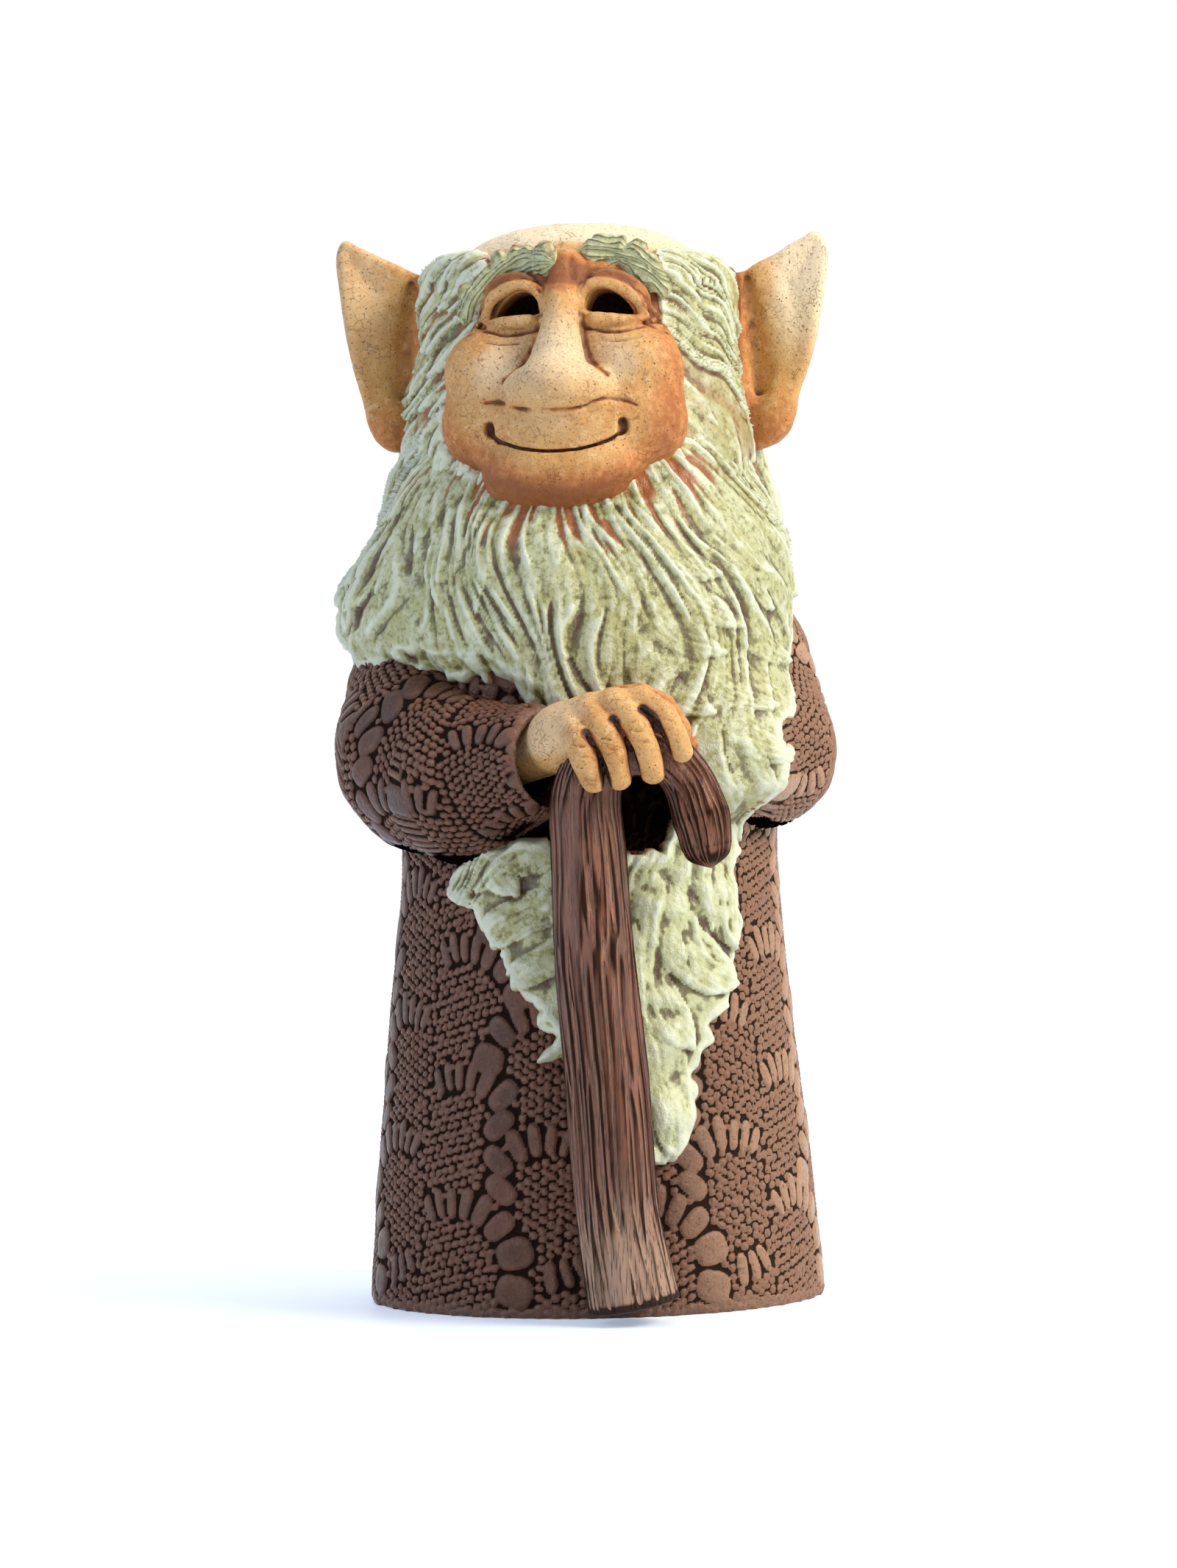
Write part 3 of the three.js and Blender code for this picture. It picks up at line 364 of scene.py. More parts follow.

# %% [markdown]
# ### Iron stain on embossed clay
# The robe was rolled out on a leather-pattern mat, then stained with iron and manganese and wiped, so the flat tops of
# the scales are a greyed brown, the grooves nearly black, and the small beads more red. The viewer's right is painted
# lighter, as painted light from the window, and the left darker, as painted shade. The tops are rubbed a little
# smoother than the grooves, and they take a faint cool sheen. A negative flush is painted shade, near black and without
# sheen, in the hollows behind the stick and under the sleeves.

# %% Robe stain
robe_stain, tree, shader, place, hollow, flush = new_finish("iron_stained_stoneware")
grit = {"Vector": place, "Detail": 3.0, "Roughness": 0.55}
cloud = add_node(tree, NOISE, {**grit, "Scale": 1 / 14.0}).outputs[0]
mottle = add_node(tree, NOISE, {**grit, "Scale": 1 / 1.3, "Detail": 4.0}).outputs[0]
smuts = add_node(tree, NOISE, {**grit, "Scale": 1 / 0.9, "Roughness": 0.6}).outputs[0]
fine = add_node(tree, NOISE, {**grit, "Scale": 1 / 0.4, "Detail": 2.0}).outputs[0]
across = add_node(tree, "ShaderNodeSeparateXYZ", {0: place}).outputs[0]
stain = lay_coats(
    tree, "#663e2b",
    # Lighter towards the viewer's right: painted light. Darker towards the left: painted shade.
    ("#47291c", cloud, 0.35, 0.65), ("#bf9676", across, 12.0, 50.0, 0.8), ("#34201a", across, -8.0, -50.0, 0.4),
    ("#6e4531", flush, 0.0, 1.0, 0.6), ("#85583f", mottle, 0.5, 0.78, 0.5), ("#94705a", hollow, -0.1, -0.4, 0.35),
    # Near black where the flush is negative: painted shade.
    ("#33221a", smuts, 0.56, 0.68, 0.6), ("#070403", flush, -0.1, -0.7), ("#190f0a", hollow, 0.02, 0.24, 0.95),
)
rubbed = add_node(tree, RANGE, {0: hollow, 1: -0.15, 2: 0.15, 3: 0.34, 4: 0.75}, **SMOOTH).outputs[0]
sheen = add_node(tree, RANGE, {0: hollow, 1: 0.0, 2: 0.2, 3: 0.32, 4: 0.05}, **SMOOTH).outputs[0]
# No sheen where the robe is painted near black as shade.
outside_painted_shade = add_node(tree, RANGE, {0: flush, 1: -0.7, 2: -0.1}, **SMOOTH).outputs[0]
sheen = add_node(tree, MATH, {0: sheen, 1: outside_painted_shade}, operation="MULTIPLY").outputs[0]
surface = {"Base Color": stain, "Roughness": rubbed, "Specular IOR Level": sheen, "IOR": 1.5}
fire(robe_stain, tree, shader, surface, [(mottle, 0.4), (smuts, -0.15), (fine, 0.1)])

# %% [markdown]
# ### Stained stick
# The stick is clay too, scored lengthwise with a needle to look like weathered wood. The stain lies black in the
# scoring, and the ridges are wiped back to a red brown, paler and dusty towards the foot. The end of the crook has an
# orange painted highlight. The streaks are drawn with noise that is stretched upwards, about 1 mm across.

# %% Stick stain
stick_stain, tree, shader, place, hollow, flush = new_finish("scored_stained_stoneware")
stretched = add_node(tree, "ShaderNodeMapping", {"Vector": place, "Scale": (1.0, 1.0, 0.06)}).outputs[0]
grit = {"Vector": stretched, "Detail": 2.0, "Roughness": 0.55}
streaks = add_node(tree, NOISE, {**grit, "Scale": 1 / 1.1, "Detail": 3.0}).outputs[0]
wide = add_node(tree, NOISE, {**grit, "Scale": 1 / 3.2}).outputs[0]
hairline = add_node(tree, NOISE, {**grit, "Scale": 1 / 0.45}).outputs[0]
fine = add_node(tree, NOISE, {**grit, "Vector": place, "Scale": 1 / 0.4}).outputs[0]
wood = lay_coats(
    tree, "#674130",
    ("#85533e", wide, 0.38, 0.64), ("#8a6650", streaks, 0.52, 0.72, 0.7), ("#b8967e", flush, 0.0, 1.0, 0.75),
    # A negative flush is orange: the painted highlight on the end of the crook.
    ("#7d4a2e", flush, 0.0, -1.0, 0.6), ("#b08a6c", hollow, -0.06, -0.3, 0.55), ("#2b1a12", hairline, 0.52, 0.64, 0.75),
    ("#1a0f0a", hollow, 0.03, 0.2, 0.92),
)
sheen = add_node(tree, RANGE, {0: hollow, 1: 0.0, 2: 0.15, 3: 0.5, 4: 0.04}, **SMOOTH).outputs[0]
surface = {"Base Color": wood, "Roughness": 0.45, "Specular IOR Level": sheen, "IOR": 1.5}
fire(stick_stain, tree, shader, surface, [(streaks, 0.3), (hairline, 0.15), (fine, 0.1)])

# %% [markdown]
# ## The leather pattern
# The robe's clay was pressed on a mat with a reptile-leather pattern: tight rows of small beads, and open fans of
# longer scales that swell into big ovals at the bend of the fan. A Voronoi texture gives cells, but not this order, so
# each scale is stamped one by one into a height map of the unrolled robe. Each stamp is a low dome with a flat top, and
# where stamps meet, the higher one wins, which leaves a groove between them. A second map tells beads from big scales,
# for the stain.

# %% Stamp of one scale
MAP_STEP = 0.4
MAP_TOP = 216
ROBE_ROLL = 56.5
map_width = int(round(2 * math.pi * ROBE_ROLL / MAP_STEP))
map_height = int(MAP_TOP / MAP_STEP)
scale_height = np.zeros((map_height, map_width))
bead_share = np.zeros((map_height, map_width))
taken = np.zeros((map_height, map_width), bool)
chance = np.random.default_rng(11)


def stamp(s, t, long, wide, turn, height, bead):
    """One scale: half length and half width in millimetres, its long side turned from level."""
    reach = max(long, wide) * 1.25
    columns = np.arange(int((s - reach) / MAP_STEP), int((s + reach) / MAP_STEP) + 2)
    rows = np.arange(max(0, int((t - reach) / MAP_STEP)), min(map_height, int((t + reach) / MAP_STEP) + 2))
    if len(rows) == 0:
        return
    away_s, away_t = np.meshgrid(columns * MAP_STEP - s, rows * MAP_STEP - t)
    along = (away_s * math.cos(turn) + away_t * math.sin(turn)) / long
    across = (away_t * math.cos(turn) - away_s * math.sin(turn)) / wide
    power = 2.5 if bead else 2.7
    distance = (np.abs(along) ** power + np.abs(across) ** power) ** (1 / power)
    dome = height * np.clip(1 - distance**6, 0, 1) ** 0.6
    window = np.ix_(rows, columns % map_width)
    here = scale_height[window]
    wins = dome > here
    scale_height[window] = np.where(wins, dome, here)
    bead_share[window] = np.where(wins, bead, bead_share[window])
    if not bead:
        taken[window] |= distance < 1.12


# %% [markdown]
# The fans stand in columns that open left and right in turn. A fan is left out where another one already lies.

# %% Fans of scales
HALF_WIDTHS = (4.5, 3.3, 2.5, 2.0, 1.75, 1.6, 1.6)
HALF_LENGTHS = (5.2, 5.1, 5.0, 4.7, 4.4, 4.2, 4.0)


def stamp_fan(s, t, side, radius):
    """An open fan of scales: a pair of big ovals at its bend, narrower ones round to its two ends."""
    for way in (-1, 1):
        turn, wide = 0.0, 0.0
        for number, half in enumerate(HALF_WIDTHS):
            jitter = chance.uniform(-0.12, 0.12) if number else 0.0
            turn += (wide + half + (0.5 if number == 0 else 0.7)) / radius
            wide, long = half + jitter, HALF_LENGTHS[number] + 2 * jitter
            out = radius + 4 * jitter
            angle = way * turn
            centre_s, centre_t = s + side * out * math.cos(angle), t + out * math.sin(angle)
            free = 0 < centre_t < MAP_TOP - 1
            for reach in (-0.7, -0.3, 0, 0.3, 0.7):
                at_s = centre_s + reach * long * math.cos(side * angle)
                at_t = centre_t + reach * long * math.sin(side * angle)
                row = int(np.clip(at_t / MAP_STEP, 0, map_height - 1))
                free &= not taken[row, int(at_s / MAP_STEP) % map_width]
            if free:
                stamp(centre_s, centre_t, long, wide, side * angle, 1.0, 0)


FAN_COLUMNS, FAN_PITCH, FAN_RADIUS = 14, 34.0, 18.0
round_robe = map_width * MAP_STEP
for level in range(7):
    for column in range(FAN_COLUMNS):
        s = (column + 0.5) * round_robe / FAN_COLUMNS
        t = 12 + FAN_PITCH * level + (FAN_PITCH / 2 if column % 2 else 0)
        stamp_fan(s, t, -1 if column % 2 else 1, FAN_RADIUS)
print("share of the robe under big scales:", round(float(taken.mean()), 2))

# %% [markdown]
# Beads fill what the fans leave free, in slanting rows 2.5 mm apart that change their slant from column to column. A
# grid of the places taken so far keeps two beads from lying on each other. Small fillers close the last gaps.

# %% Beads and fillers
BEAD_PITCH, BEAD_GAP = 2.5, 1.95
placed = np.zeros((map_height // 4 + 2, map_width // 4 + 1, 2)) - 99
beads = fillers = 0
patch = round_robe / FAN_COLUMNS
for column in range(FAN_COLUMNS):
    tilt = math.radians((-1) ** column * chance.uniform(12, 34))
    for i, j in product(range(-46, 47), range(-52, 53)):
        u, v = (i + 0.5 * (j % 2)) * BEAD_PITCH, j * BEAD_PITCH * 0.88
        s = (column + 0.5) * patch + u * math.cos(tilt) - v * math.sin(tilt) + chance.uniform(-0.22, 0.22)
        t = 108 + u * math.sin(tilt) + v * math.cos(tilt) + chance.uniform(-0.22, 0.22)
        if abs(s - (column + 0.5) * patch) > patch / 2 or not 0 < t < MAP_TOP - 1:
            continue
        row, here = int(t / MAP_STEP / 4), int(s % round_robe / MAP_STEP / 4)
        near = placed[max(0, row - 1) : row + 2, max(0, here - 1) : here + 2].reshape(-1, 2)
        free = not taken[int(t / MAP_STEP), int(s / MAP_STEP) % map_width]
        if free and np.hypot(*(near - [s % round_robe, t]).T).min() > BEAD_GAP:
            placed[row, here] = s % round_robe, t
            beads += 1
            wide = 1.02 + chance.uniform(-0.1, 0.1)
            stamp(s, t, 1.14 + chance.uniform(-0.08, 0.18), wide, tilt + chance.uniform(-0.25, 0.25), 0.78, 1)
for t, s in product(np.arange(1.0, MAP_TOP - 1, 1.3), np.arange(0, round_robe, 1.3)):
    s, t = s + chance.uniform(-0.4, 0.4), t + chance.uniform(-0.4, 0.4)
    rows = slice(max(0, int((t - 0.7) / MAP_STEP)), int((t + 0.7) / MAP_STEP) + 1)
    here = np.arange(int((s - 0.7) / MAP_STEP), int((s + 0.7) / MAP_STEP) + 2) % map_width
    if scale_height[rows][:, here].max() < 0.25:
        stamp(s, t, 0.95, 0.85, chance.uniform(-0.5, 0.5), 0.7, 1)
        fillers += 1
print("beads:", beads, "fillers:", fillers)


# %% Read a map
def read_map(values, s, t):
    """Value of a map at places in millimetres, going round the robe."""
    across = np.asarray(s) / MAP_STEP
    up = np.clip(np.asarray(t) / MAP_STEP, 0, map_height - 1.001)
    column, row = np.floor(across).astype(int), np.floor(up).astype(int)
    part_s, part_t = across - column, up - row
    left, right = column % map_width, (column + 1) % map_width
    lower = values[row, left] * (1 - part_s) + values[row, right] * part_s
    upper = values[row + 1, left] * (1 - part_s) + values[row + 1, right] * part_s
    return lower * (1 - part_t) + upper * part_t


# %% [markdown]
# ## Robe
# The robe is a slab rolled into a tube, open underneath. The front is drawn finer than the back because a viewer stands
# there, so it is made as two shells that meet under the sleeves. Each shell is one grid that runs down the inside wall,
# round the hem and up the outside, and the outside is pushed in and out by the pattern. A slow unevenness of half a
# millimetre keeps it from looking turned on a wheel.

# %% Robe shells
ROBE_WALL, ROBE_TOP, MEAN_RADIUS = 6.0, 196.0, 60


def robe_shell(name, start, end, step):
    """A shell between two azimuths in degrees, with a grid step in millimetres."""
    columns = int(math.radians(end - start) * MEAN_RADIUS / step) + 1
    outside = np.arange(0.0, ROBE_TOP, step)
    azimuth = np.linspace(start, end, columns)
    inside = np.linspace(ROBE_TOP + 10, 0.4, 9)
    z = np.concatenate([inside, [0.0], outside])[:, None] + 0 * azimuth
    turn = azimuth + 0 * z
    lift = np.full(z.shape, -ROBE_WALL)
    first = len(inside) + 1
    relief = read_map(scale_height, np.radians(turn) * ROBE_ROLL, z)
    waves = grain(on_core(turn, z, 0.0), 38, 3) * 0.7 + grain(on_core(turn, z, 0.0), 9, 4) * 0.15
    outer = 1.1 * relief - 0.35 + waves - 0.8 * np.exp(-((z / 0.9) ** 2))
    lift[first:] = outer[first:]
    lift[first - 1] = 1.0 - ROBE_WALL
    beads = read_map(bead_share, np.radians(turn) * ROBE_ROLL, z)
    points = on_core(turn, z, lift)
    x, y = points[..., 0], points[..., 1]
    # Painted shade: the robe is painted near black in the hollow behind the stick and under the hands.
    painted_shade_behind_stick = ease(x, -20, -17) * ease(25 - x, 0, 3) * ease(z, 120, 124) * ease(152 - z, 0, 4)
    beads = beads - 2 * painted_shade_behind_stick * (y < -40)
    faces = grid_faces(len(z), columns)
    add_piece(name, points.reshape(-1, 3), faces, ["robe_body"], robe_stain, beads, 10)


robe_shell("robe_front", -104, 104, 0.68)
robe_shell("robe_back", 104, 256, 0.85)

# %% [markdown]
# ## Hair as a relief of locks
# Hair on a clay figure is not strands. The maker lays on soft clay and drags a tool through it, so each stroke leaves a
# lock that starts flat and ends in a lifted tip over the next one, like tiles on a roof. Particle hair would look like
# fur here. A relief is a height map with a lock stamped for each stroke: round across, with a few comb lines, and
# rising towards its tip. The highest lock wins. The map also keeps how far each place is inside the sheet, so that the
# edge of the sheet is drawn by the lock tips and not by a straight cut: outside it the sheet dives under its carrier.

# %% Distances to lines and outlines
def nearest(line, *at):
    """Distance from places to a line through points, and how far along it the nearest point is."""
    best, along, gone = np.full(at[0].shape, 1e6), np.zeros(at[0].shape), 0.0
    for a, b in zip(line[:-1], line[1:]):
        step = np.subtract(b, a)
        length = math.sqrt(step @ step) + 1e-9
        share = np.clip(sum((v - p) * q for v, p, q in zip(at, a, step)) / length**2, 0, 1)
        away = np.hypot(*[v - p - share * q for v, p, q in zip(at, a, step)])
        along = np.where(away < best, gone + share * length, along)
        best = np.minimum(best, away)
        gone += length
    return best, along


def outline_distance(corners, x, z):
    """Distance to a closed, rounded outline, negative inside."""
    corners = np.array(corners, float)
    for _ in range(3):
        ahead = np.roll(corners, -1, 0)
        corners = np.stack([0.75 * corners + 0.25 * ahead, 0.25 * corners + 0.75 * ahead], 1).reshape(-1, 2)
    ring = np.concatenate([corners, corners[:1]])
    inside = np.zeros(x.shape, bool)
    for (ax, az), (bx, bz) in zip(ring[:-1], ring[1:]):
        crosses = (az > z) != (bz > z)
        inside ^= crosses & (x < ax + (z - az) * (bx - ax) / (bz - az if bz != az else 1e-9))
    distance = nearest(ring, x, z)[0]
    return np.where(inside, -distance, distance)


# %% A sheet for hair
class Relief:
    def __init__(self, low, high, roll, step, carrier=on_core):
        """A sheet in millimetres of arc and height, rolled round a carrier at a radius."""
        self.carrier = carrier
        self.s = np.arange(low[0], high[0] + step, step)
        self.t = np.arange(low[1], high[1] + step, step)
        self.across, self.up = np.meshgrid(self.s, self.t)
        self.places = np.stack([self.across, self.up, 0 * self.up], -1)
        self.roll, self.step = roll, step
        self.base = np.zeros(self.across.shape)
        self.locks = np.zeros(self.across.shape)
        self.strokes = np.zeros(self.across.shape)
        self.inside = np.full(self.across.shape, -9.0)
        self.room = np.full(self.across.shape, 50.0)

    def azimuth(self):
        return np.degrees(self.across / self.roll)

    def outline(self, distance):
        """Gives the sheet its plain area, as the distance inside its edge at every place."""
        self.area = distance
        self.inside = np.maximum(self.inside, distance)

    def keep_off(self, corners):
        """Leaves an outline free, given as seen from the front."""
        seen = self.carrier(self.azimuth(), self.up, 4.0)
        ragged = outline_distance(corners, seen[..., 0], seen[..., 2]) + 1.3 * grain(seen, 2.2, 6)
        self.room = np.where(seen[..., 1] < 0, ragged, 50.0)
        self.area = np.minimum(self.area, self.room)

    def covers(self, s, t):
        """Whether a place is in the sheet's plain area."""
        column = np.clip(int((s - self.s[0]) / self.step), 0, len(self.s) - 1)
        row = np.clip(int((t - self.t[0]) / self.step), 0, len(self.t) - 1)
        return self.area[row, column] > 0


# %% [markdown]
# A stroke of the tool leaves one lock. Each place near its path learns how far along and how far aside it lies, and
# that gives the lock's rounding, its comb lines and its rise to the tip.

# %% Stamp a lock
def stamp_lock(relief, path, width, lift, comb=1.25, blunt=0.55):
    """One stroke along a path of [s, t] points, from its root to its tip."""
    path = np.asarray(path, float)
    reach = width + 1.5
    low, high = path.min(0) - reach, path.max(0) + reach
    column = slice(*np.searchsorted(relief.s, [low[0], high[0]]))
    row = slice(*np.searchsorted(relief.t, [low[1], high[1]]))
    x, y = relief.across[row, column], relief.up[row, column]
    if x.size == 0:
        return
    best = np.full(x.shape, 1e6)
    along = np.zeros(x.shape)
    side = np.zeros(x.shape)
    count = len(path) - 1
    for i in range(count):
        (ax, ay), (bx, by) = path[i], path[i + 1]
        dx, dy = bx - ax, by - ay
        length = dx * dx + dy * dy + 1e-9
        share = np.clip(((x - ax) * dx + (y - ay) * dy) / length, 0, 1)
        gx, gy = x - ax - share * dx, y - ay - share * dy
        away = np.hypot(gx, gy)
        closer = away < best
        best = np.where(closer, away, best)
        along = np.where(closer, (i + share) / count, along)
        side = np.where(closer, np.sign(dx * gy - dy * gx) * away, side)
    half = width / 2 * (blunt + (1 - blunt) * np.sin(np.pi * np.clip(along * 1.15, 0, 1)))
    half = half * np.sqrt(np.clip((1.02 - along) * 3.2, 0.0, 1)) * np.sqrt(np.clip(along * 6 + 0.15, 0, 1))
    half = np.maximum(half, 0.05)
    within = half - best
    round_over = np.sqrt(np.clip(1 - (best / half) ** 2, 0, 1))
    lines = 0.5 + 0.5 * np.cos(2 * np.pi * side / comb)
    rise = lift * (0.12 + 0.88 * along**0.8)
    dome = rise * (0.25 + 0.75 * round_over) + 0.2 * lines * np.clip(lift, 0, 1.2) * (0.3 + 0.7 * along)
    dome = np.where(within > 0, dome, 0)
    relief.locks[row, column] = np.maximum(relief.locks[row, column], dome)
    relief.inside[row, column] = np.maximum(relief.inside[row, column], within)


# %% [markdown]
# Long combed strokes need another way, because they run on from root to tip without a break. Each place is traced back
# along the flow to a start line, such as the jaw. Where it starts and how far it has come are two coordinates that
# follow the hair, so noise and ridges drawn in them are combed by themselves.

# %% Trace strokes back
LONGEST_STROKE = 150


def trace_back(relief, flow, start, wobble, seed):
    """For each place: where its stroke starts, in millimetres along a start line, and how far back that is."""
    angle = np.radians(flow(relief.across, relief.up) + wobble * grain(relief.places, 18, seed))
    s, t, back = relief.across.copy(), relief.up.copy(), np.zeros(relief.up.shape)
    going = relief.room > 0.5
    for _ in range(LONGEST_STROKE):
        row = np.clip(((t - relief.t[0]) / relief.step + 0.5).astype(int), 0, len(relief.t) - 1)
        column = np.clip(((s - relief.s[0]) / relief.step + 0.5).astype(int), 0, len(relief.s) - 1)
        going &= (relief.room[row, column] > 0.5) & (t < relief.t[-1] - 0.5)
        going &= (s > relief.s[0] + 0.5) & (s < relief.s[-1] - 0.5)
        s = s - going * np.sin(angle[row, column])
        t = t + going * np.cos(angle[row, column])
        back += going
    return nearest(start, s, t)[1], back


# %% Comb the strokes
def comb_strokes(relief, flow, start, size, height, seed, wobble=10.0, fine=0.3, run=40.0):
    """Long strokes from a start line: broad ones of a size across, with a crest, and fine lines on them."""
    root, back = trace_back(relief, flow, start, wobble, seed)
    for axis in (0, 1) * 3:
        root, back = ((np.roll(v, 1, axis) + 2 * v + np.roll(v, -1, axis)) / 4 for v in (root, back))

    def noise(across, along, number):
        return grain(np.stack([across, along, 0 * back], -1), 1, seed + number)

    broad = noise(root / size, back / run, 1)
    wide = noise(root / size / 2.6, back / run / 1.4, 2)
    lines = noise(root / size * 2.3, back / run * 1.5, 3)
    crest = 1 - np.abs(wide) * 1.8
    drift = noise(root / size / 3.4, back / run * 1.2, 4)
    turns = root / size / 1.9 + 0.8 * drift
    part = turns - np.floor(turns)
    tooth = np.where(part < 0.82, (part / 0.82) ** 1.6, (1 - part) / 0.18)
    kept = ease(noise(np.floor(turns) * 0.73, back / run * 1.9, 5), -0.2, 0.5)
    relief.strokes = height * (0.38 * broad + 0.42 * crest + 1.0 * kept * (tooth - 0.4)) + fine * lines


# %% [markdown]
# At the end the sheet is laid on its carrier. Near its edge and near the face it is thinner, and the glaze is painted
# as broken to bare clay along the edge.

# %% Lay a sheet
UNDER = 2.5


def lay_sheet(relief, name, nodes, flush=None, scale=12):
    """The relief as a mesh on its carrier, diving under it just outside the edge."""
    relief.inside = np.minimum(relief.inside, relief.room)
    rim = np.sqrt(np.clip(relief.inside / 1.6, 0, 1))
    near_face = 0.4 + 0.6 * ease(relief.room, 0, 13)
    height = (relief.base * near_face + relief.locks + relief.strokes) * (0.35 + 0.65 * rim)
    for amount, size, seed in ((0.14, 2.4, 8), (0.1, 1.2, 7), (0.3, 9, 9)):
        height = height + amount * grain(relief.places, size, seed)
    lift = np.where(relief.inside > 0, height, -UNDER)
    points = relief.carrier(relief.azimuth(), relief.up, lift)
    keep = relief.inside > -1.6 * relief.step
    faces = grid_faces(*relief.up.shape)
    faces = faces[keep.ravel()[faces].any(1)]
    paint = np.zeros(relief.up.shape) if flush is None else flush
    bare = 0.75 * (1 - ease(relief.inside, 0.1, 0.9))
    paint = np.where(bare > 0, np.maximum(paint, bare), paint)
    add_piece(name, points.reshape(-1, 3), faces, nodes, green_glaze, paint, scale)


# %% [markdown]
# Loose locks are scattered over an area. Each starts near a place of a grid and follows the flow, with a small bend of
# its own.

# %% Locks along a flow
def comb_locks(relief, area, spacing, flow, length, width, lift, seed, curl=0.0):
    """Locks all over an area, each following the flow, which gives degrees from straight down."""
    chance = np.random.default_rng(seed)
    (left, bottom), (right, top) = area
    made = 0
    for t in np.arange(bottom, top, spacing):
        for s in np.arange(left, right, spacing * 0.8):
            at = np.array([s, t]) + chance.uniform(-0.5, 0.5, 2) * spacing
            size = chance.uniform(0.75, 1.3)
            bend = chance.uniform(-1, 1) * 9 + curl * chance.uniform(0.5, 1.3)
            path = [at]
            for step in range(7):
                angle = math.radians(flow(*path[-1]) + bend * (step - 3) / 3)
                path.append(path[-1] + length * size / 7 * np.array([math.sin(angle), -math.cos(angle)]))
            if relief.covers(*path[3]):
                stamp_lock(relief, path, width * chance.uniform(0.8, 1.25), lift * chance.uniform(0.6, 1.25))
                made += 1
    return made


# %% [markdown]
# The face leaves a gap in the hair. Its outline is read off the front view, as places across and up.

# %% Outline of the face
FACE_OUTLINE = [
    (-25, 296), (-27, 280), (-27.5, 270), (-29.5, 263), (-36.5, 251), (-39.8, 240), (-38.5, 232.5), (-33.5, 226.8),
    (-26, 223.2), (-19.5, 219.6), (-13, 217), (-5, 215.8), (1, 216), (6, 218.8), (12, 222.6), (19.5, 227.4),
    (25, 233), (26.6, 240), (25.5, 250), (24.2, 260), (23.5, 270), (22.5, 280), (20, 296),
]
print("face from", min(FACE_OUTLINE)[0], "to", max(FACE_OUTLINE)[0], "mm across")

# %% [markdown]
# ### Beard on the chest
# The beard fans out from under the chin. Under the chin and on the viewer's left it was combed straight down in long
# wavy strokes, and on the right the strokes swing outwards and end in broad leaf-like tips. It is thicker where it
# hangs over the shoulder and over the far forearm. Its lower edge is the row of lock tips.

# %% Beard fan: its area
fan = Relief((-84, 120), (84, 236), 48, 0.46)
azimuth = fan.azimuth()
hem = np.interp(
    azimuth,
    [-97, -75, -62, -48, -38, -28, -16, -6, 12, 16, 25, 30, 64, 97],
    [177, 174, 172.5, 171, 170.5, 170, 163, 158, 157, 154, 140, 127, 126, 126],
)
far_edge = np.interp(fan.up, [120, 130, 140, 155, 168, 184, 200, 231], [46, 46, 47, 51, 65, 82, 94, 100])
hem = hem + 1.3 * grain(fan.places, 4.5, 26) + 0.6 * grain(fan.places, 1.7, 27)
inside = np.minimum((fan.up - hem) * 0.85, np.radians(far_edge - azimuth) * fan.roll * 0.85)
fan.outline(np.minimum(inside, np.minimum(234 - fan.up, np.radians(azimuth + 97) * fan.roll)))
print("beard map:", fan.up.shape)

# %% [markdown]
# The flow says which way the strokes run at each place, in degrees from straight down. The strokes start along the jaw,
# and the clay under them is built up from a few swellings.

# %% Beard fan: thickness and flow
def hump(middle, spread, height, tall, amount):
    """A swelling at an azimuth and a height, with how far it spreads each way."""
    return amount * np.exp(-(((azimuth - middle) / spread) ** 2) - ((fan.up - height) / tall) ** 2)


slim = 5.2 * ease(azimuth, 30, 60) * ease(fan.up, 205, 228)
fan.base = 5.6 - slim + hump(-88, 34, 186, 19, 7.2) + hump(48, 26, 144, 24, 13.5) + hump(0, 45, 186, 23, 3.4)


def beard_flow(s, t):
    """Degrees from straight down: outwards on the viewer's right, a little outwards on the left."""
    upper = ease(t, 152, 226)
    outward = 56 * ease(s, -2, 44) * upper - 16 * ease(s, 20, 60) * (1 - upper)
    return outward - 24 * ease(-s, 12, 60) * ease(t, 176, 216) - 20 * ease(-s, 40, 80) + 9 * np.sin(t / 8 + s / 9)


def from_front(relief, out, *places):
    """Places across and up as seen from the front, as places on a sheet that lies out from the core."""
    x, z = np.array(places, float).T
    return np.stack([np.arcsin(np.clip(x / (core_radius(z) + out), -0.985, 0.985)) * relief.roll, z], 1)


fan.keep_off(FACE_OUTLINE)
jaw = from_front(fan, 4, *FACE_OUTLINE[5:18])
start = [(fan.s[0], 236), (jaw[0, 0], 236), *map(tuple, jaw), (jaw[-1, 0], 236), (fan.s[-1], 236)]
thin_hem = (1 - ease(fan.up - hem, 0, 6)) * ease(-azimuth, 5, 15) * ease(azimuth, -72, -56)
fan.base = fan.base * (1 - 0.45 * thin_hem) + hump(-88, 20, 200, 12, 2.2)
fan.base = fan.base * (1 - 0.66 * ease(azimuth, 18, 26) * (1 - ease(fan.up, 128, 140)))
comb_strokes(fan, beard_flow, start, 1.8, 1.35, 21, 30, 0.45, 22)
fan.strokes = fan.strokes * (1 + ease(-azimuth, 48, 72))
print("strokes from", fan.strokes.min().round(2), "to", fan.strokes.max().round(2), "mm")

# %% [markdown]
# Over the strokes lie single locks: a few by chance, the broad leaf tips of the far side, and the tips that stand out
# from the shoulder.

# %% Beard fan: locks and tips
def evenly(values, share):
    """Values at shares from 0 to 1 of the way through values at even steps."""
    return np.interp(share, np.linspace(0, 1, len(values)), values)


def curve_through(places, share):
    """The same for points."""
    return np.stack([evenly(values, share) for values in zip(*places)], -1)


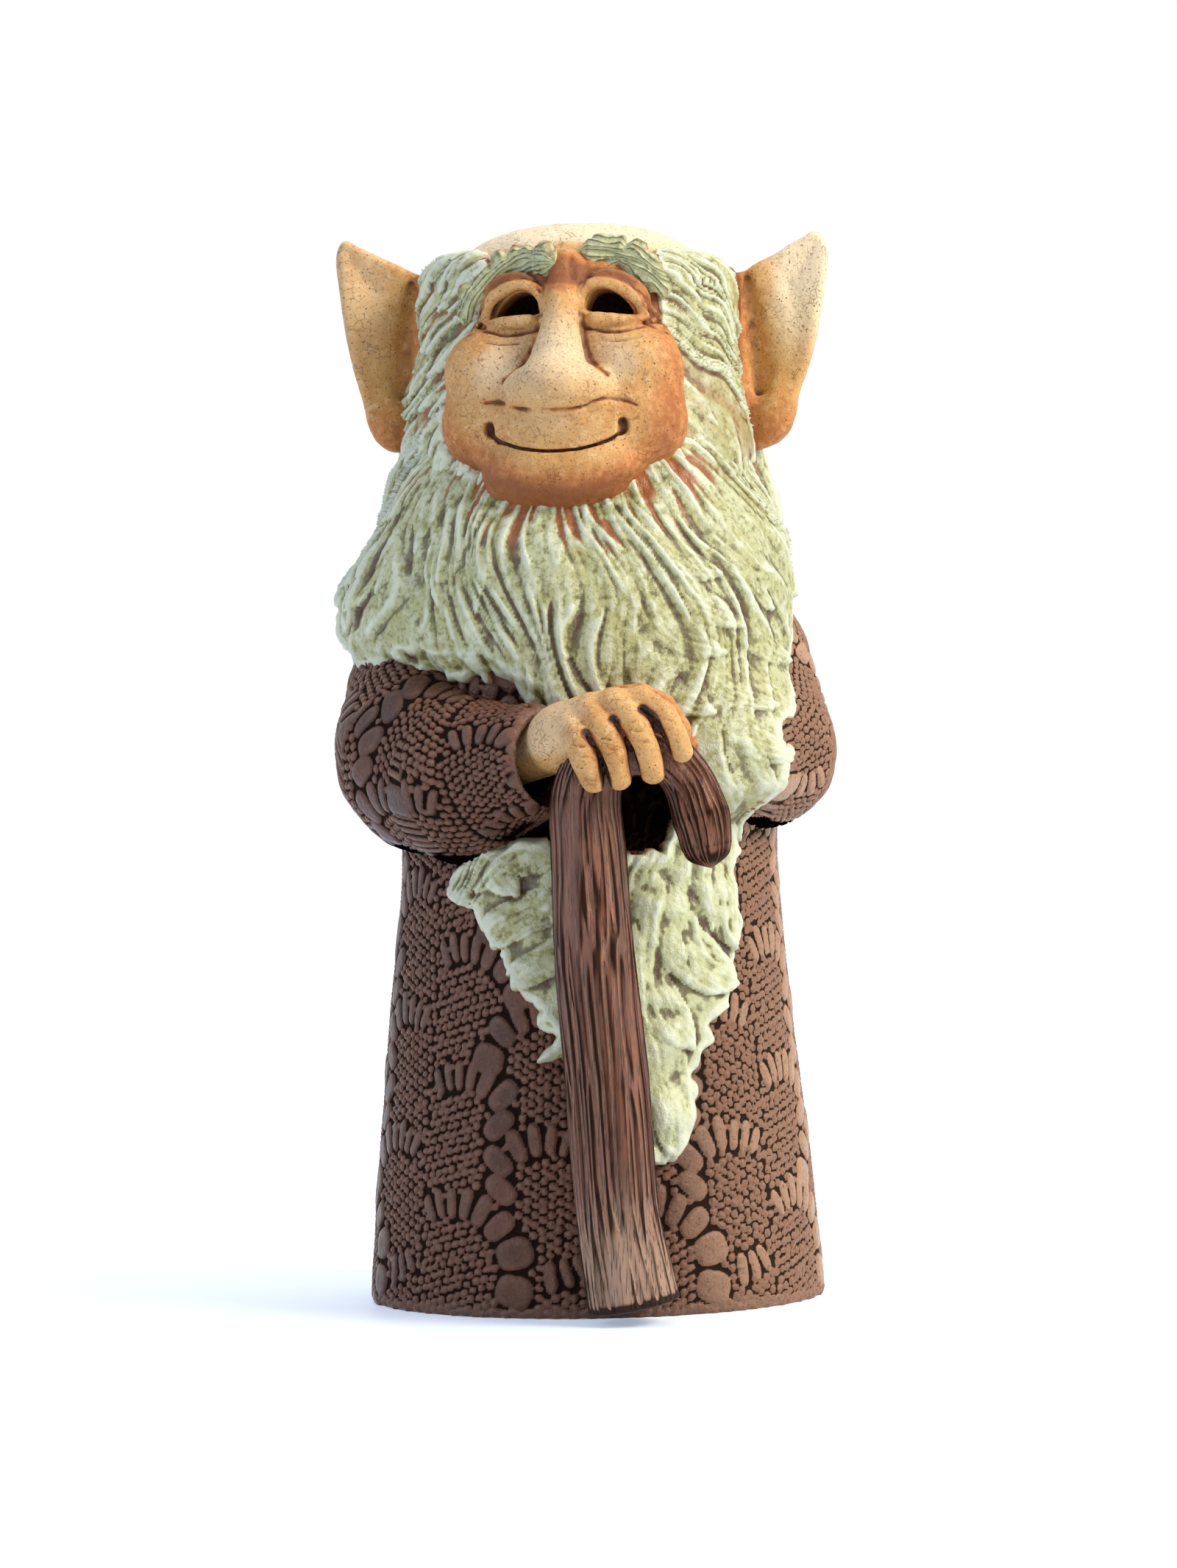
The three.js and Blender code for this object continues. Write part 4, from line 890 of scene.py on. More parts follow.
count = comb_locks(fan, ((-82, 150), (78, 236)), 13, beard_flow, 30, 8.0, 0.9, 22, 8)
tips = [
    ((-44, 206), (-53, 199), (-60, 195), (-66, 193)), ((-40, 194), (-50, 186), (-57, 180), (-62, 178)),
    ((-25, 190), (-32, 180), (-36, 173), (-38, 168)), ((-9, 186), (-11, 176), (-13, 168), (-14, 161)),
    ((16, 206), (23, 201), (30, 197.5), (37, 196)), ((20, 193), (27, 189), (34, 186), (41, 182)),
    ((34, 216), (41, 208), (46, 202), (51, 197)), ((31, 205), (38, 200), (45, 194), (51, 187)),
    ((13, 190), (20, 183), (28, 177), (36, 175)), ((36, 188), (43, 181), (49, 176), (55, 173)),
    ((24, 176), (31, 169), (38, 163), (46, 161)), ((37, 173), (43, 166), (49, 160), (53, 158)),
    ((12, 176), (18, 168), (24, 162), (31, 159)), ((29, 161), (35, 154), (41, 149), (48, 147)),
    ((33, 149), (38, 142), (43, 137), (48, 135)), ((24, 152), (28, 144), (33, 138), (38, 133)),
]
for number, path in enumerate(tips):
    path = from_front(fan, 9, *curve_through(path, np.linspace(0, 1, 9)))
    stamp_lock(fan, path, 9.0, 0.8 if number < 4 else 1.35, 1.7, 0.8)
shoulder = [(-57, 217), (-63, 209), (-58, 202), (-66, 200), (-72, 194), (-61, 193), (-67, 187), (-73, 183)]
for s, t in shoulder:
    stamp_lock(fan, [(s + 7, t + 10), (s + 3, t + 5), (s, t), (s - 4, t - 4)], 7.5, 3.0, 1.7, 0.8)
print("beard locks:", count + len(tips) + len(shoulder))

# %% [markdown]
# The edge is torn along the strokes and trimmed, a hollow is left where the hands and the crook come out, and the bare
# clay shows between the roots under the chin.

# %% Beard fan: edge and stain
ragged = 0.5 + 1.6 * ease(-azimuth, 42, 60)
fan.inside = fan.inside + np.where(fan.area < 6, ragged * fan.strokes, 0)
fan.inside = np.minimum(fan.inside, np.minimum(fan.up - hem, np.radians(far_edge - azimuth) * fan.roll) + 2.5)
behind_hands = (np.abs(azimuth - 7) < 18) & (fan.up < 152)
fan.inside = np.where(behind_hands, -9.0, fan.inside)
chin_edge = (1 - ease(fan.room, 0.5, 32.0)) * ease(240 - fan.up, 0, 20)
stain = chin_edge * (1 - ease(fan.strokes, -0.5, 0.25)) * 1.3
lay_sheet(fan, "beard_fan_locks", ["beard_fan"], np.clip(stain, 0, 0.9), 20)

# %% [markdown]
# ### Beard tail on the robe
# Below the hands the beard goes on as a pointed tail, pressed on the robe. Its locks are few and large, with curls on
# the viewer's left and one broad leaf on the right, so they are drawn one by one, as places across and up.

# %% Beard tail
tail = Relief((-54, 32), (66, 134), 56, 0.5)
azimuth = tail.azimuth()
left_edge = np.interp(tail.up, [39, 51, 72, 88, 99, 115, 121, 134], [18, -5, -10, -20, -29, -38, -37, -20])
right_edge = np.interp(tail.up, [39, 49.5, 68, 87, 103, 126, 134], [18.5, 25, 30, 40, 43, 47, 47])
inside = np.minimum(azimuth - left_edge, right_edge - azimuth)
ragged = 1.6 * grain(tail.places, 4.5, 33) + 0.8 * grain(tail.places, 1.8, 34)
top_edge = np.interp(azimuth, [-40, -10, 8, 21, 26], [126, 125, 122.5, 122.5, 133])
inside = np.minimum(np.radians(inside) * tail.roll * 0.8, np.minimum(tail.up - 39, top_edge - tail.up))
tail.outline(inside + ragged)
tail.base = 4.2 + 1.8 * grain(tail.places, 9, 35) + 0.6 * grain(tail.places, 4, 36)


def on_tail(*places):
    """Places on the tail, read off the front view."""
    return from_front(tail, 5, *places)


def tail_flow(s, t):
    return 16 * np.sin(t / 11) - 25 * ease(-s, 0, 30) + 18 * ease(s, 5, 40) * ease(t, 70, 110)


comb_strokes(tail, tail_flow, [(-54, 134), (66, 134)], 2.0, 0.75, 31, 30, 0.35, 24)
print("tail map:", tail.up.shape)

# %% Leaves of the tail
broad = [
    (on_tail((17, 114), (20, 104), (25, 96), (32, 90.5), (38, 87)), 15, 2.6),
    (on_tail((27, 122), (33, 112), (36, 104), (38, 97)), 12, 1.8),
    (on_tail((14, 100), (15, 88), (20, 78), (26, 71)), 12, 1.8),
    (on_tail((17, 80), (19, 66), (22, 54), (21, 42)), 13, 1.6),
    (on_tail((-10, 121), (-18, 122), (-24, 117), (-20, 112)), 10, 2.2),
    (on_tail((-20, 117), (-29, 118.5), (-35, 114), (-33, 109)), 11, 2.2),
    (on_tail((-9, 109), (-17, 107), (-24, 103), (-27, 98)), 11, 2.0),
    (on_tail((-6, 98), (-12, 94), (-18, 91), (-21, 87)), 9, 1.8),
    (on_tail((-5, 76), (-9, 71), (-15, 67.5)), 4.2, 2.4),
]
for path, width, lift in broad:
    stamp_lock(tail, path, width, lift, 1.9, 1.0)
# Paler towards the viewer's right: painted light from the window.
lay_sheet(tail, "beard_tail_locks", ["beard_tail"], -0.55 * ease(azimuth, -5, 15), 20)

# %% [markdown]
# ### Hair round the ears and down the back
# The head is bald on top with a thick ring of hair, which was built up square and combed away from the face. A carrier
# of its own lets the sheet run up the side and fold over on to the crown, so the ring has a top. In front of the near
# ear the strokes end in free feathery tips, beside the far ear they are close, wavy ridges, and at the back they hang
# in long waves to the shoulders.

# %% Carrier for the ring of hair
HAIR_FOLD, FOLD_LENGTH, FOLD_RISE = 275.0, 19.0, 9.0
RING_LIFT, RING_OUTER, RING_INNER = 2.5, 42.0, 29


def hair_carrier(azimuth, t, lift):
    """The side of the head up to the fold, then over it on to the crown."""
    turn = np.radians(azimuth)
    folded = np.clip((t - HAIR_FOLD) / FOLD_LENGTH, 0, 1) * np.pi / 2
    out, up = np.cos(folded) ** 0.6, np.sin(folded) ** 0.6
    side = np.maximum(core_radius(np.minimum(t, HAIR_FOLD)) + RING_LIFT, RING_OUTER)
    radius = np.where(t < HAIR_FOLD, side, RING_INNER + (side - RING_INNER) * out) + lift * np.cos(folded)
    z = np.where(t < HAIR_FOLD, t, HAIR_FOLD + FOLD_RISE * up) + lift * np.sin(folded)
    return np.stack([radius * np.sin(turn), -radius * np.cos(turn) * DEPTH_SHARE, z], -1)


# %% [markdown]
# The back hair of the CAD model has nine waves. The same formula here makes the sheet lie on them.

# %% Waves of the back hair
BACK_START, BACK_SPAN, WAVES = 95.5, 169, 9


def hanging(azimuth, z):
    """The nine waves of the back hair: its hem, and how far its clay stands out from the core."""
    share = np.clip((286 - z) / 105, 0, 1) ** (2 / 3)
    across = np.clip((azimuth - BACK_START) / BACK_SPAN, 0, 1)
    sway = 6 * np.sin(2 * np.pi * share) * np.sin(np.pi * across)
    across = np.clip((azimuth - sway - BACK_START) / BACK_SPAN, 0, 1)
    crest = -np.cos(2 * np.pi * WAVES * across)
    hem = 182 - 5 * (1 - (2 * across - 1) ** 2) - 2 * crest
    out = np.maximum(5, 44.5 - core_radius(z)) * (1 + 0.4 * np.sin(np.pi * share))
    return hem, out + 2 * crest * ease(share, 0.1, 0.5)


# %% [markdown]
# The three parts of the ring are made by one function. Each is outlined, combed away from the face or down the back,
# thickened, given its loose locks, and stained with the bare clay where it is thin. On the near side, which lies in
# shade, the brown in the grooves is widened into painted shade.

# %% Part of the ring
HAIR_ROLL, HAIR_TOP = 43.0, 297


def hair_ring(name, nodes, start, end, bottom, flow, length, width, lift, spacing, stroke, seed, edge_lift=0.0):
    """A part of the ring between two azimuths, down to a height, with its strokes and locks."""
    at_back, near = end > 110, start < 0
    left, right = math.radians(start) * HAIR_ROLL, math.radians(end) * HAIR_ROLL
    relief = Relief((left, bottom - 8), (right, HAIR_TOP), HAIR_ROLL, 0.5, hair_carrier)
    turn = relief.azimuth()
    hem, clay = hanging(turn, np.minimum(relief.up, HAIR_FOLD))
    hem = hem if at_back else bottom + 5 * grain(relief.places, 5, seed + 9)
    inside = np.minimum(np.minimum(turn - start, end - turn) * math.radians(1) * HAIR_ROLL - 3.5, relief.up - hem)
    relief.outline(np.minimum(inside, 295.5 - relief.up))
    relief.keep_off(FACE_OUTLINE)
    if at_back:
        roots = [(relief.s[0], HAIR_TOP), (relief.s[-1], HAIR_TOP)]
    else:
        face = from_front(relief, 4, *[corner for corner in FACE_OUTLINE if (corner[0] < 0) == near])
        side = face[np.argmax(np.abs(face[:, 0])), 0]
        first, last = (299, 225) if near else (225, 299)
        roots = [(relief.s[0], first), (side, first), (side, last), (relief.s[-1], last)]
    comb_strokes(relief, flow, roots, stroke, (0.95 if near else 0.8) * stroke, seed + 50, 9, 0.3)
    if at_back:
        carried = np.maximum(RING_LIFT, RING_OUTER - core_radius(np.minimum(relief.up, HAIR_FOLD)))
        over = 1 - ease(relief.up, HAIR_FOLD - 6, HAIR_FOLD + 8)
        ends = ease(np.minimum(turn - start, end - turn), 2, 14)
        relief.base = 0.9 + np.maximum(clay - carried - 1.9, -0.6) * over * ends - 1.8 * (1 - ends)
    else:
        swelling = edge_lift * np.exp(-(((turn - start) / 14) ** 2) - ((relief.up - 244) / 9) ** 2)
        relief.base = 0.9 + swelling - 4.5 * (1 - ease(relief.up, 216, 236))
    area = ((relief.s[0], bottom - 6), (relief.s[-1], 302))
    made = comb_locks(relief, area, spacing, flow, length, width, lift, seed, 6)
    if at_back:
        stain = 0.9 * (1 - ease(ends, 0.05, 0.4))
    elif near:
        # Bare clay in the grooves, widened into painted shade on this shaded side.
        stain = 0.95 * (1 - ease(relief.strokes + relief.locks, 0.0, 2.0))
    else:
        stain = 0.6 * (1 - ease(relief.strokes, -0.7, 0.2))
    lay_sheet(relief, name, nodes, stain, 18)
    print(name, "locks:", made)


# %% [markdown]
# What differs is the flow, in degrees from straight down, and the size of the locks: their length, width, lift and
# spacing, and the size of the strokes.

# %% Side and back hair
def near_flow(s, t):
    return -58 + 40 * ease(250 - t, 0, 24) + 30 * ease(t, 276, 292) + 8 * np.sin(t / 4)


def far_flow(s, t):
    return 62 - 34 * ease(248 - t, 0, 22) - 20 * ease(t, 276, 292) + 16 * np.sin(s / 3.0)


def back_flow(s, t):
    return 20 * np.sin(t / 13 + s / 17)


near = (17, 6.0, 2.0, 6.8, 1.9)
far = (16, 5.0, 0.7, 13.0, 1.7)
back = (34, 9.0, 1.4, 13.0, 2.8)
hair_ring("right_side_locks", ["right_side_hair"], -102, -22, 220, near_flow, *near, 41, 5.0)
hair_ring("left_side_locks", ["left_side_hair"], 26, 102, 217, far_flow, *far, 42)
hair_ring("back_locks", ["back_hair"], 92, 268, 176, back_flow, *back, 43)

# %% [markdown]
# ## Clay blocks
# A face cannot be a height map of the robe, because a nose hangs over. Instead a block of space is filled with
# distances to a surface: negative inside the clay, positive outside. Joining two forms is then the smaller of two
# distances, and a soft join, as a thumb leaves it, is a rounded smaller-of. Cutting is the same with the signs turned.
# At the end the surface is taken off where the distance is zero: every cell of the lattice that the surface passes
# through gets one point, and neighbouring points are joined. This is also how a remesh modifier works inside.

# %% A block of clay
def soft_min(one, other, blend):
    """The smaller of two, rounded where they are about the same."""
    mix = np.clip(0.5 + 0.5 * (other - one) / blend, 0, 1)
    return other * (1 - mix) + one * mix - blend * mix * (1 - mix)


class Clay:
    def __init__(self, low, high, step):
        self.low, self.step = np.array(low, float), step
        self.axes = [np.arange(low[i], high[i] + step, step) for i in range(3)]
        self.distance = np.full([len(axis) for axis in self.axes], 50.0, np.float32)

    def window(self, low, high):
        """The part of the lattice in a box, as slices and coordinates."""
        cut = tuple(slice(*np.searchsorted(self.axes[i], [low[i], high[i]])) for i in range(3))
        return cut, np.meshgrid(*[self.axes[i][cut[i]] for i in range(3)], indexing="ij")

    def add(self, form, low, high, blend=0.1, cut=False):
        """Joins a form, given as its distance at x, y and z, or cuts it away."""
        low, high = np.array(low) - blend - 2 * self.step, np.array(high) + blend + 2 * self.step
        part, (x, y, z) = self.window(low, high)
        if x.size:
            here, new = self.distance[part], form(x, y, z)
            self.distance[part] = -soft_min(-here, new, blend) if cut else soft_min(here, new, blend)

    def egg(self, centre, sizes, blend=0.1, cut=False):
        """An ellipsoid with half sizes along x, y and z."""
        centre, sizes = np.array(centre, float), np.array(sizes, float)

        def form(x, y, z):
            a, b, c = (x - centre[0]) / sizes[0], (y - centre[1]) / sizes[1], (z - centre[2]) / sizes[2]
            first = np.sqrt(a * a + b * b + c * c) + 1e-6
            second = np.sqrt((a / sizes[0]) ** 2 + (b / sizes[1]) ** 2 + (c / sizes[2]) ** 2) + 1e-6
            return first * (first - 1) / second

        self.add(form, centre - sizes, centre + sizes, blend, cut)

    def roll(self, path, radii, blend=0.1, cut=False):
        """A rolled coil along points, with a radius at each."""
        path, radii = np.array(path, float), np.broadcast_to(np.array(radii, float), len(path))

        def form(x, y, z):
            best = np.full(x.shape, 1e6)
            for a, b, start, end in zip(path[:-1], path[1:], radii[:-1], radii[1:]):
                d = b - a
                share = ((x - a[0]) * d[0] + (y - a[1]) * d[1] + (z - a[2]) * d[2]) / (d @ d + 1e-9)
                share = np.clip(share, 0, 1)
                gx, gy, gz = x - a[0] - share * d[0], y - a[1] - share * d[1], z - a[2] - share * d[2]
                away = np.sqrt(gx * gx + gy * gy + gz * gz) - (start + share * (end - start))
                best = np.minimum(best, away)
            return best

        reach = radii.max()
        self.add(form, path.min(0) - reach, path.max(0) + reach, blend, cut)


# %% [markdown]
# Taking the surface off has two rounds. The first finds the cells where the sign changes and puts a point in the middle
# of the places where their edges are crossed. The second makes a quad round each crossed edge, from the four cells that
# share it.

# %% Take off the surface
UNIT = np.eye(3, dtype=int)


def take_skin(clay):
    """Points and quads of the surface."""
    value, full = clay.distance, np.array(clay.distance.shape)
    solid = value < 0
    corners = [solid[tuple(slice(o, n - 1 + o) for o, n in zip(c, full))] for c in product((0, 1), repeat=3)]
    inside = sum(corner.astype(np.int8) for corner in corners)
    cells = np.argwhere((inside > 0) & (inside < 8))
    number = np.full(full - 1, -1)
    number[tuple(cells.T)] = np.arange(len(cells))
    total, count = np.zeros((len(cells), 3)), np.zeros(len(cells))
    for axis in range(3):
        step = UNIT[axis]
        for corner in product((0, 1), repeat=3):
            if corner[axis]:
                continue
            start = cells + corner
            a, b = value[tuple(start.T)], value[tuple((start + step).T)]
            crossed = (a < 0) != (b < 0)
            share = np.where(crossed, a / np.where(crossed, a - b, 1), 0)
            total += np.where(crossed[:, None], start + share[:, None] * step, 0)
            count += crossed
    points = clay.low + clay.step * total / count[:, None]
    faces = []
    for axis in range(3):
        step, one, two = UNIT[axis], UNIT[(axis + 1) % 3], UNIT[(axis + 2) % 3]
        ahead = tuple(slice(s, n) for s, n in zip(step, full))
        behind = tuple(slice(0, n - s) for s, n in zip(step, full))
        edges = np.argwhere(solid[ahead] != solid[behind])
        inner = (edges[:, [(axis + 1) % 3, (axis + 2) % 3]] > 0).all(1) & (edges < full - 1).all(1)
        edges = edges[inner]
        quad = np.stack([number[tuple((edges - o).T)] for o in (0 * one, one, one + two, two)], 1)
        outward = solid[tuple(edges.T)]
        faces.append(np.where(outward[:, None], quad, quad[:, ::-1]))
    faces = np.concatenate(faces)
    return points, faces[(faces >= 0).all(1)]


def roughen(points, amount, size, seed):
    """Small unevenness, as fingers leave it."""
    return points + amount * np.stack([grain(points, size, seed + i) for i in range(3)], 1)


# %% [markdown]
# ### Head and face
# The face is turned about eight degrees to the viewer's left, so it is modelled facing straight ahead and turned as a
# whole. It starts from the head's own dome with an egg-shaped mask of clay, and then goes on as a sculptor would:
# cheeks, nose, lip and chin are pressed on with soft joins, lids are thin coils with crisp joins, the eyes are cut
# right through into the hollow head, and the smile and the creases are drawn in with a needle.

# %% Head
FACE_TURN = math.radians(-8)
head = Clay((-42, -66, 209), (42, 40, 297), 0.5)
x, y, z = np.meshgrid(*head.axes, indexing="ij")
rho = np.sqrt(x**2 + (y / DEPTH_SHARE) ** 2)
above = np.clip(z - TEMPLE, 0, None) / (CROWN - TEMPLE)
dome = 32 * (((rho / HEAD_RADIUS) ** DOME_POWER + above**DOME_POWER) ** (1 / DOME_POWER) - 1)
sides = 0.93 * (rho - core_radius(np.minimum(z, TEMPLE)))
shell = np.where(z < TEMPLE, sides, dome)
head.distance = shell.astype(np.float32)
print("head lattice:", head.distance.shape)

# %% [markdown]
# The mask follows the outline of the face, moved to where it lies when the face looks straight ahead. The finished
# points are turned at the end.

# %% Mask
straight = [(across + 6.2, up) for across, up in FACE_OUTLINE]
edge = outline_distance(straight, x[:, 0], z[:, 0])[:, None, :]
mask_lift = 4.2 + 2.8 * ease(-edge, 0, 20) - 3.5 * ease(z, 256, 274)
front = shell - mask_lift * (1 - ease(z, 276, 291))
mask = np.where(y < 0, -soft_min(-front, -edge + 0 * y, 9.0), 50)
head.distance = soft_min(head.distance, mask.astype(np.float32), 2.0)
print("mask stands out by up to", mask_lift.max().round(1), "mm")

# %% [markdown]
# Now clay is pressed on. Each lump is an egg with a soft join, the bridge of the nose is a coil, and the eye sockets
# are eggs that are cut away.

# %% Cheeks, lip, chin and nose
def on_face(across, z, lift):
    """A point over the head, straight ahead of a place across the face."""
    radius = float(core_radius(np.array(min(z, 272.0)))) + lift
    return np.array([across, -DEPTH_SHARE * math.sqrt(radius**2 - across**2), z])


# The middle of each eye across the face, and its tilt, by side.
EYES = {-1: (-11.8, 0.0), 1: (13.2, -0.11)}
for side, (middle, _) in EYES.items():
    head.egg(on_face(side * 20, 251.0, 2.4), (12.2, 11, 12.0), 6)
    head.egg(on_face(side * 22, 237, 1.4), (11, 9, 10), 6)
    head.egg(on_face(side * 13, 241, 2.8), (10.5, 8, 8), 5)
    head.egg(on_face(middle + side * 0.4, 269.0, 11.0), (8.6, 7.5, 6.4), 4, cut=True)
head.egg(on_face(0, 236.0, 4.2), (18.0, 9.5, 8.4), 4)
head.egg(on_face(0, 225.0, 1.8), (20, 9.0, 6.0), 6)
head.egg(on_face(-2, 219.5, -0.6), (17, 8.0, 5.0), 6)
bridge = [(0.6, 280, 0.6), (0.6, 271, 5.4), (0.6, 262, 8.4), (0.2, 254, 11.0), (0, 248, 12.5)]
head.roll([on_face(*place) for place in bridge], [3.6, 4.6, 5.2, 7.0, 9.0], 4.0)
head.egg(on_face(0, 245.6, 13.8), (11.0, 9.8, 7.6), 3)
for side in (-1, 1):
    head.egg(on_face(side * 9.6, 245.0, 9.4), (5.6, 7.8, 6.2), 2.4)
print("nose tip at y", round(float(head.axes[1][np.argmax((head.distance < 0).any((0, 2)))]), 1), "mm")

# %% [markdown]
# The eyes come next. Each is an almond with a flat lower edge, and the left one droops outwards. The upper lid is an
# arched coil that runs on past the corner, the lower lid a straight one. The lines of the lids are kept, because the
# paint needs them later.

# %% Eyes
def eye_hole(side):
    """Cuts an eye through to the hollow of the head."""
    middle, tilt = EYES[side]

    def form(x, y, z):
        a, c = (x - middle) / 6.4, z - 266.4 - tilt * (x - middle)
        lean = 1 - 0.28 * side * a
        top = 6.6 * np.clip(1 - a * a, 0, 1) ** 0.55 * lean - 0.6
        return np.maximum(np.maximum((np.abs(a) - 1) * 6, c - top), -c - 0.5 * np.clip(1 - a * a, 0, 1))

    head.add(form, (middle - 8, -60, 262), (middle + 8, -18, 275.5), 0.5, cut=True)


lids, drawn = [], []
for side, (middle, tilt) in EYES.items():
    arch = []
    for turn in np.linspace(0.02, math.pi - 0.02, 12):
        out = -8.2 * math.cos(turn) + 0.5
        z_arch = 266.2 + (7.6 - 0.16 * out) * math.sin(turn) ** 0.75 + tilt * side * out
        arch.append(on_face(middle + side * out, z_arch, 5.6 + 1.0 * math.sin(turn)))
    arch.append(on_face(middle + side * 12.0, 263.2 + 8 * tilt, 4.8))
    head.roll(arch, [*(0.9 + 0.95 * np.sin(np.linspace(0.25, math.pi - 0.5, 12))), 0.7], 1.0)
    fold = [on_face(p[0] + side * 0.9, p[2] + 2.6, 4.2) for p in arch[3:]]
    head.roll(fold, [0.8, 1.2, 1.5, 1.7, 1.7, 1.6, 1.4, 1.2, 1.0, 0.6], 1.6)
    lids.append(np.array(arch))
    drawn.append(np.array(arch[1:]) + [side * 0.5, 0, 2.0])
    lower = []
    for s in np.linspace(0, 1, 7):
        height = 264.2 - 0.4 * s + 0.5 * math.sin(3 * s)
        lower.append(on_face(middle + side * (-8.4 + 17.4 * s), height, 6.9 - 0.8 * s))
    head.roll(lower, [1.0, 1.6, 1.9, 1.9, 1.7, 1.3, 0.8], 1.4)
    eye_hole(side)

HOLLOW, HOLLOW_SIZE = np.array([0, 0, 262.0]), np.array([31.5, 28.5, 25.0])
head.egg(HOLLOW, HOLLOW_SIZE, 0.5, cut=True)
print("eyes at", EYES)

# %% [markdown]
# Small grooves go in last, because a groove that is cut before a lump is added would be filled. A crease is drawn along
# the skin with a round needle. The mouth is a knife cut of an even depth, so the depth is measured from the skin that
# the lattice has by then.

# %% Needle and knife
def skin_ahead(across, z):
    """Where the clay's front is, straight ahead of a place, found on the lattice."""
    column, row = (int(round((value - head.low[i]) / head.step)) for value, i in ((across, 0), (z, 2)))
    return head.axes[1][int(np.argmax(head.distance[column, :, row] < 0))]


def smooth_path(path):
    """Evens out a path between its ends."""
    for _ in range(3):
        path[1:-1] = (path[:-2] + 2 * path[1:-1] + path[2:]) / 4
    return path


def draw(places, radii, blend=1.2, sink=0.15, wash=True):
    """A groove drawn along the skin through places across and up."""
    fine = np.linspace(0, 1, 4 * len(places) - 3)
    path = np.array([(x, skin_ahead(x, z) + sink, z) for x, z in curve_through(places, fine)])
    path = smooth_path(path)
    if wash:
        drawn.append(path)
    head.roll(path, evenly(radii, fine), blend, cut=True)


def knife(places, half, deep):
    """A knife cut along places across and up, to a depth below the skin."""
    fine = np.linspace(0, 1, 6 * len(places) - 5)
    route = smooth_path(smooth_path(curve_through(places, fine)))
    front = head.axes[1][np.argmax(head.distance < 0, axis=1)]

    def form(x, y, z):
        column, row = (np.rint((v - head.low[i]) / head.step).astype(int) for v, i in ((x, 0), (z, 2)))
        return np.maximum(nearest(route, x, z)[0] - half, y - front[column, row] - deep)

    (low_x, low_z), (high_x, high_z) = route.min(0) - 1, route.max(0) + 1
    head.add(form, (low_x, -64, low_z), (high_x, -20, high_z), 0.25, cut=True)


# %% [markdown]
# The smile is cut with the knife and eased with the needle, and it ends in a pit at each corner. The other creases are
# needle lines: beside the nose, over the lip, under the eyes and at their corners.

# %% Smile
smile = [(-18.4, 234.6), (-16.4, 232.2), (-10, 229.6), (-0.6, 228.4), (7, 229.2), (14, 231.4), (17, 234)]
knife(smile, 0.4, 2.0)
draw(smile, [0.5] * 7, 1.6, -0.2)
for place, sizes in (((-18.6, 235.3), (1.7, 3.0, 2.1)), ((17.3, 235.3), (1.5, 2.5, 2.2))):
    head.egg((place[0], skin_ahead(*place) + 0.8, place[1]), sizes, 1.0, cut=True)
print("smile from", smile[0][0], "to", smile[-1][0], "mm across")

# %% Creases
draw([(6.4, 265.7), (7, 259.1), (8.3, 253.3), (13.4, 248.8)], [0.9, 1.2, 0.9, 0.5], 2.0)
draw([(-5.6, 265.4), (-6.7, 259.8), (-9.3, 252), (-14.6, 248.1)], [0.7, 0.8, 0.6, 0.4], 2.4)
draw([(-19.5, 242.3), (-16.5, 242.6), (-14.2, 241.8)], [0.3, 0.8, 0.4], 1.0)
draw([(-11.5, 240.6), (-9, 240), (-6.5, 239.6)], [0.3, 0.6, 0.3], 1.0)
draw([(-3, 239.4), (3, 239.2), (8, 240.2)], [0.25, 0.4, 0.25], 1.2)
draw([(8, 240.6), (13, 242.6), (18, 242), (21, 240.5)], [0.25, 0.5, 0.45, 0.2], 1.0)
for side, (middle, _) in EYES.items():
    out = [middle + side * step for step in (-6, -1, 4, 9)]
    draw(list(zip(out, (261.8, 260.8, 260.6, 262.0))), [0.3, 0.6, 0.6, 0.4], 0.8)
    draw(list(zip(out[1:], (258.2, 257.8, 259.0))), [0.2, 0.35, 0.2], 0.8, wash=False)
    for rise in (3.2, 0.6, -1.8):
        places = [(middle + side * (8.8 + step), 263.2 + rise * step / 4) for step in (0, 3, 6)]
        draw(places, [0.4, 0.45, 0.2], 0.8)
    draw([(side * 3.4, 281), (side * 3.8, 275.5)], [0.3, 0.4], 2.0)
print("lines drawn:", len(drawn))

# %% [markdown]
# The finished skin is taken off the lattice, the hidden inside is dropped except round the eyes, and the paint is put
# on by place: orange round the mouth and chin, at the temples and between the brows, and paler towards the crown. Some
# of it is painted light: a darker band of painted shade under the brows, and pale painted highlights on the cheeks and
# the nose. The part under the hair becomes a piece of its own, so that neither mesh gets too heavy, and the cut is
# where the hair covers it.

# %% Skin of the head
points, faces = take_skin(head)
in_hollow = np.abs(np.linalg.norm((points - HOLLOW) / HOLLOW_SIZE, axis=1) - 1) < 0.035
from_eye = np.minimum(np.abs(points[:, 0] - 13), np.abs(points[:, 0] + 12)) + np.abs(points[:, 2] - 268)
unseen = in_hollow & ((from_eye > 16) | (points[:, 1] > -10))
faces = faces[~unseen[faces].any(1)]
points = roughen(points, 0.1, 1.6, 51)
print("points on the head:", len(points))

# %% Where paint goes
def near_place(across, z, wide, tall):
    """1 at a place on the face, fading over a size in millimetres."""
    front = points[:, 1] < 0
    return front * np.exp(-(((points[:, 0] - across) / wide) ** 2) - ((points[:, 2] - z) / tall) ** 2)


def near_lines(lines, reach):
    """1 on lines as seen from ahead, fading out at a reach in millimetres."""
    seen, near = points[:, 1] < -20, np.zeros(len(points))
    flat = points[seen][:, ::2].T
    best = np.min([nearest(line[:, ::2], *flat)[0] for line in lines], axis=0)
    near[seen] = ease(reach - best, 0, reach)
    return near


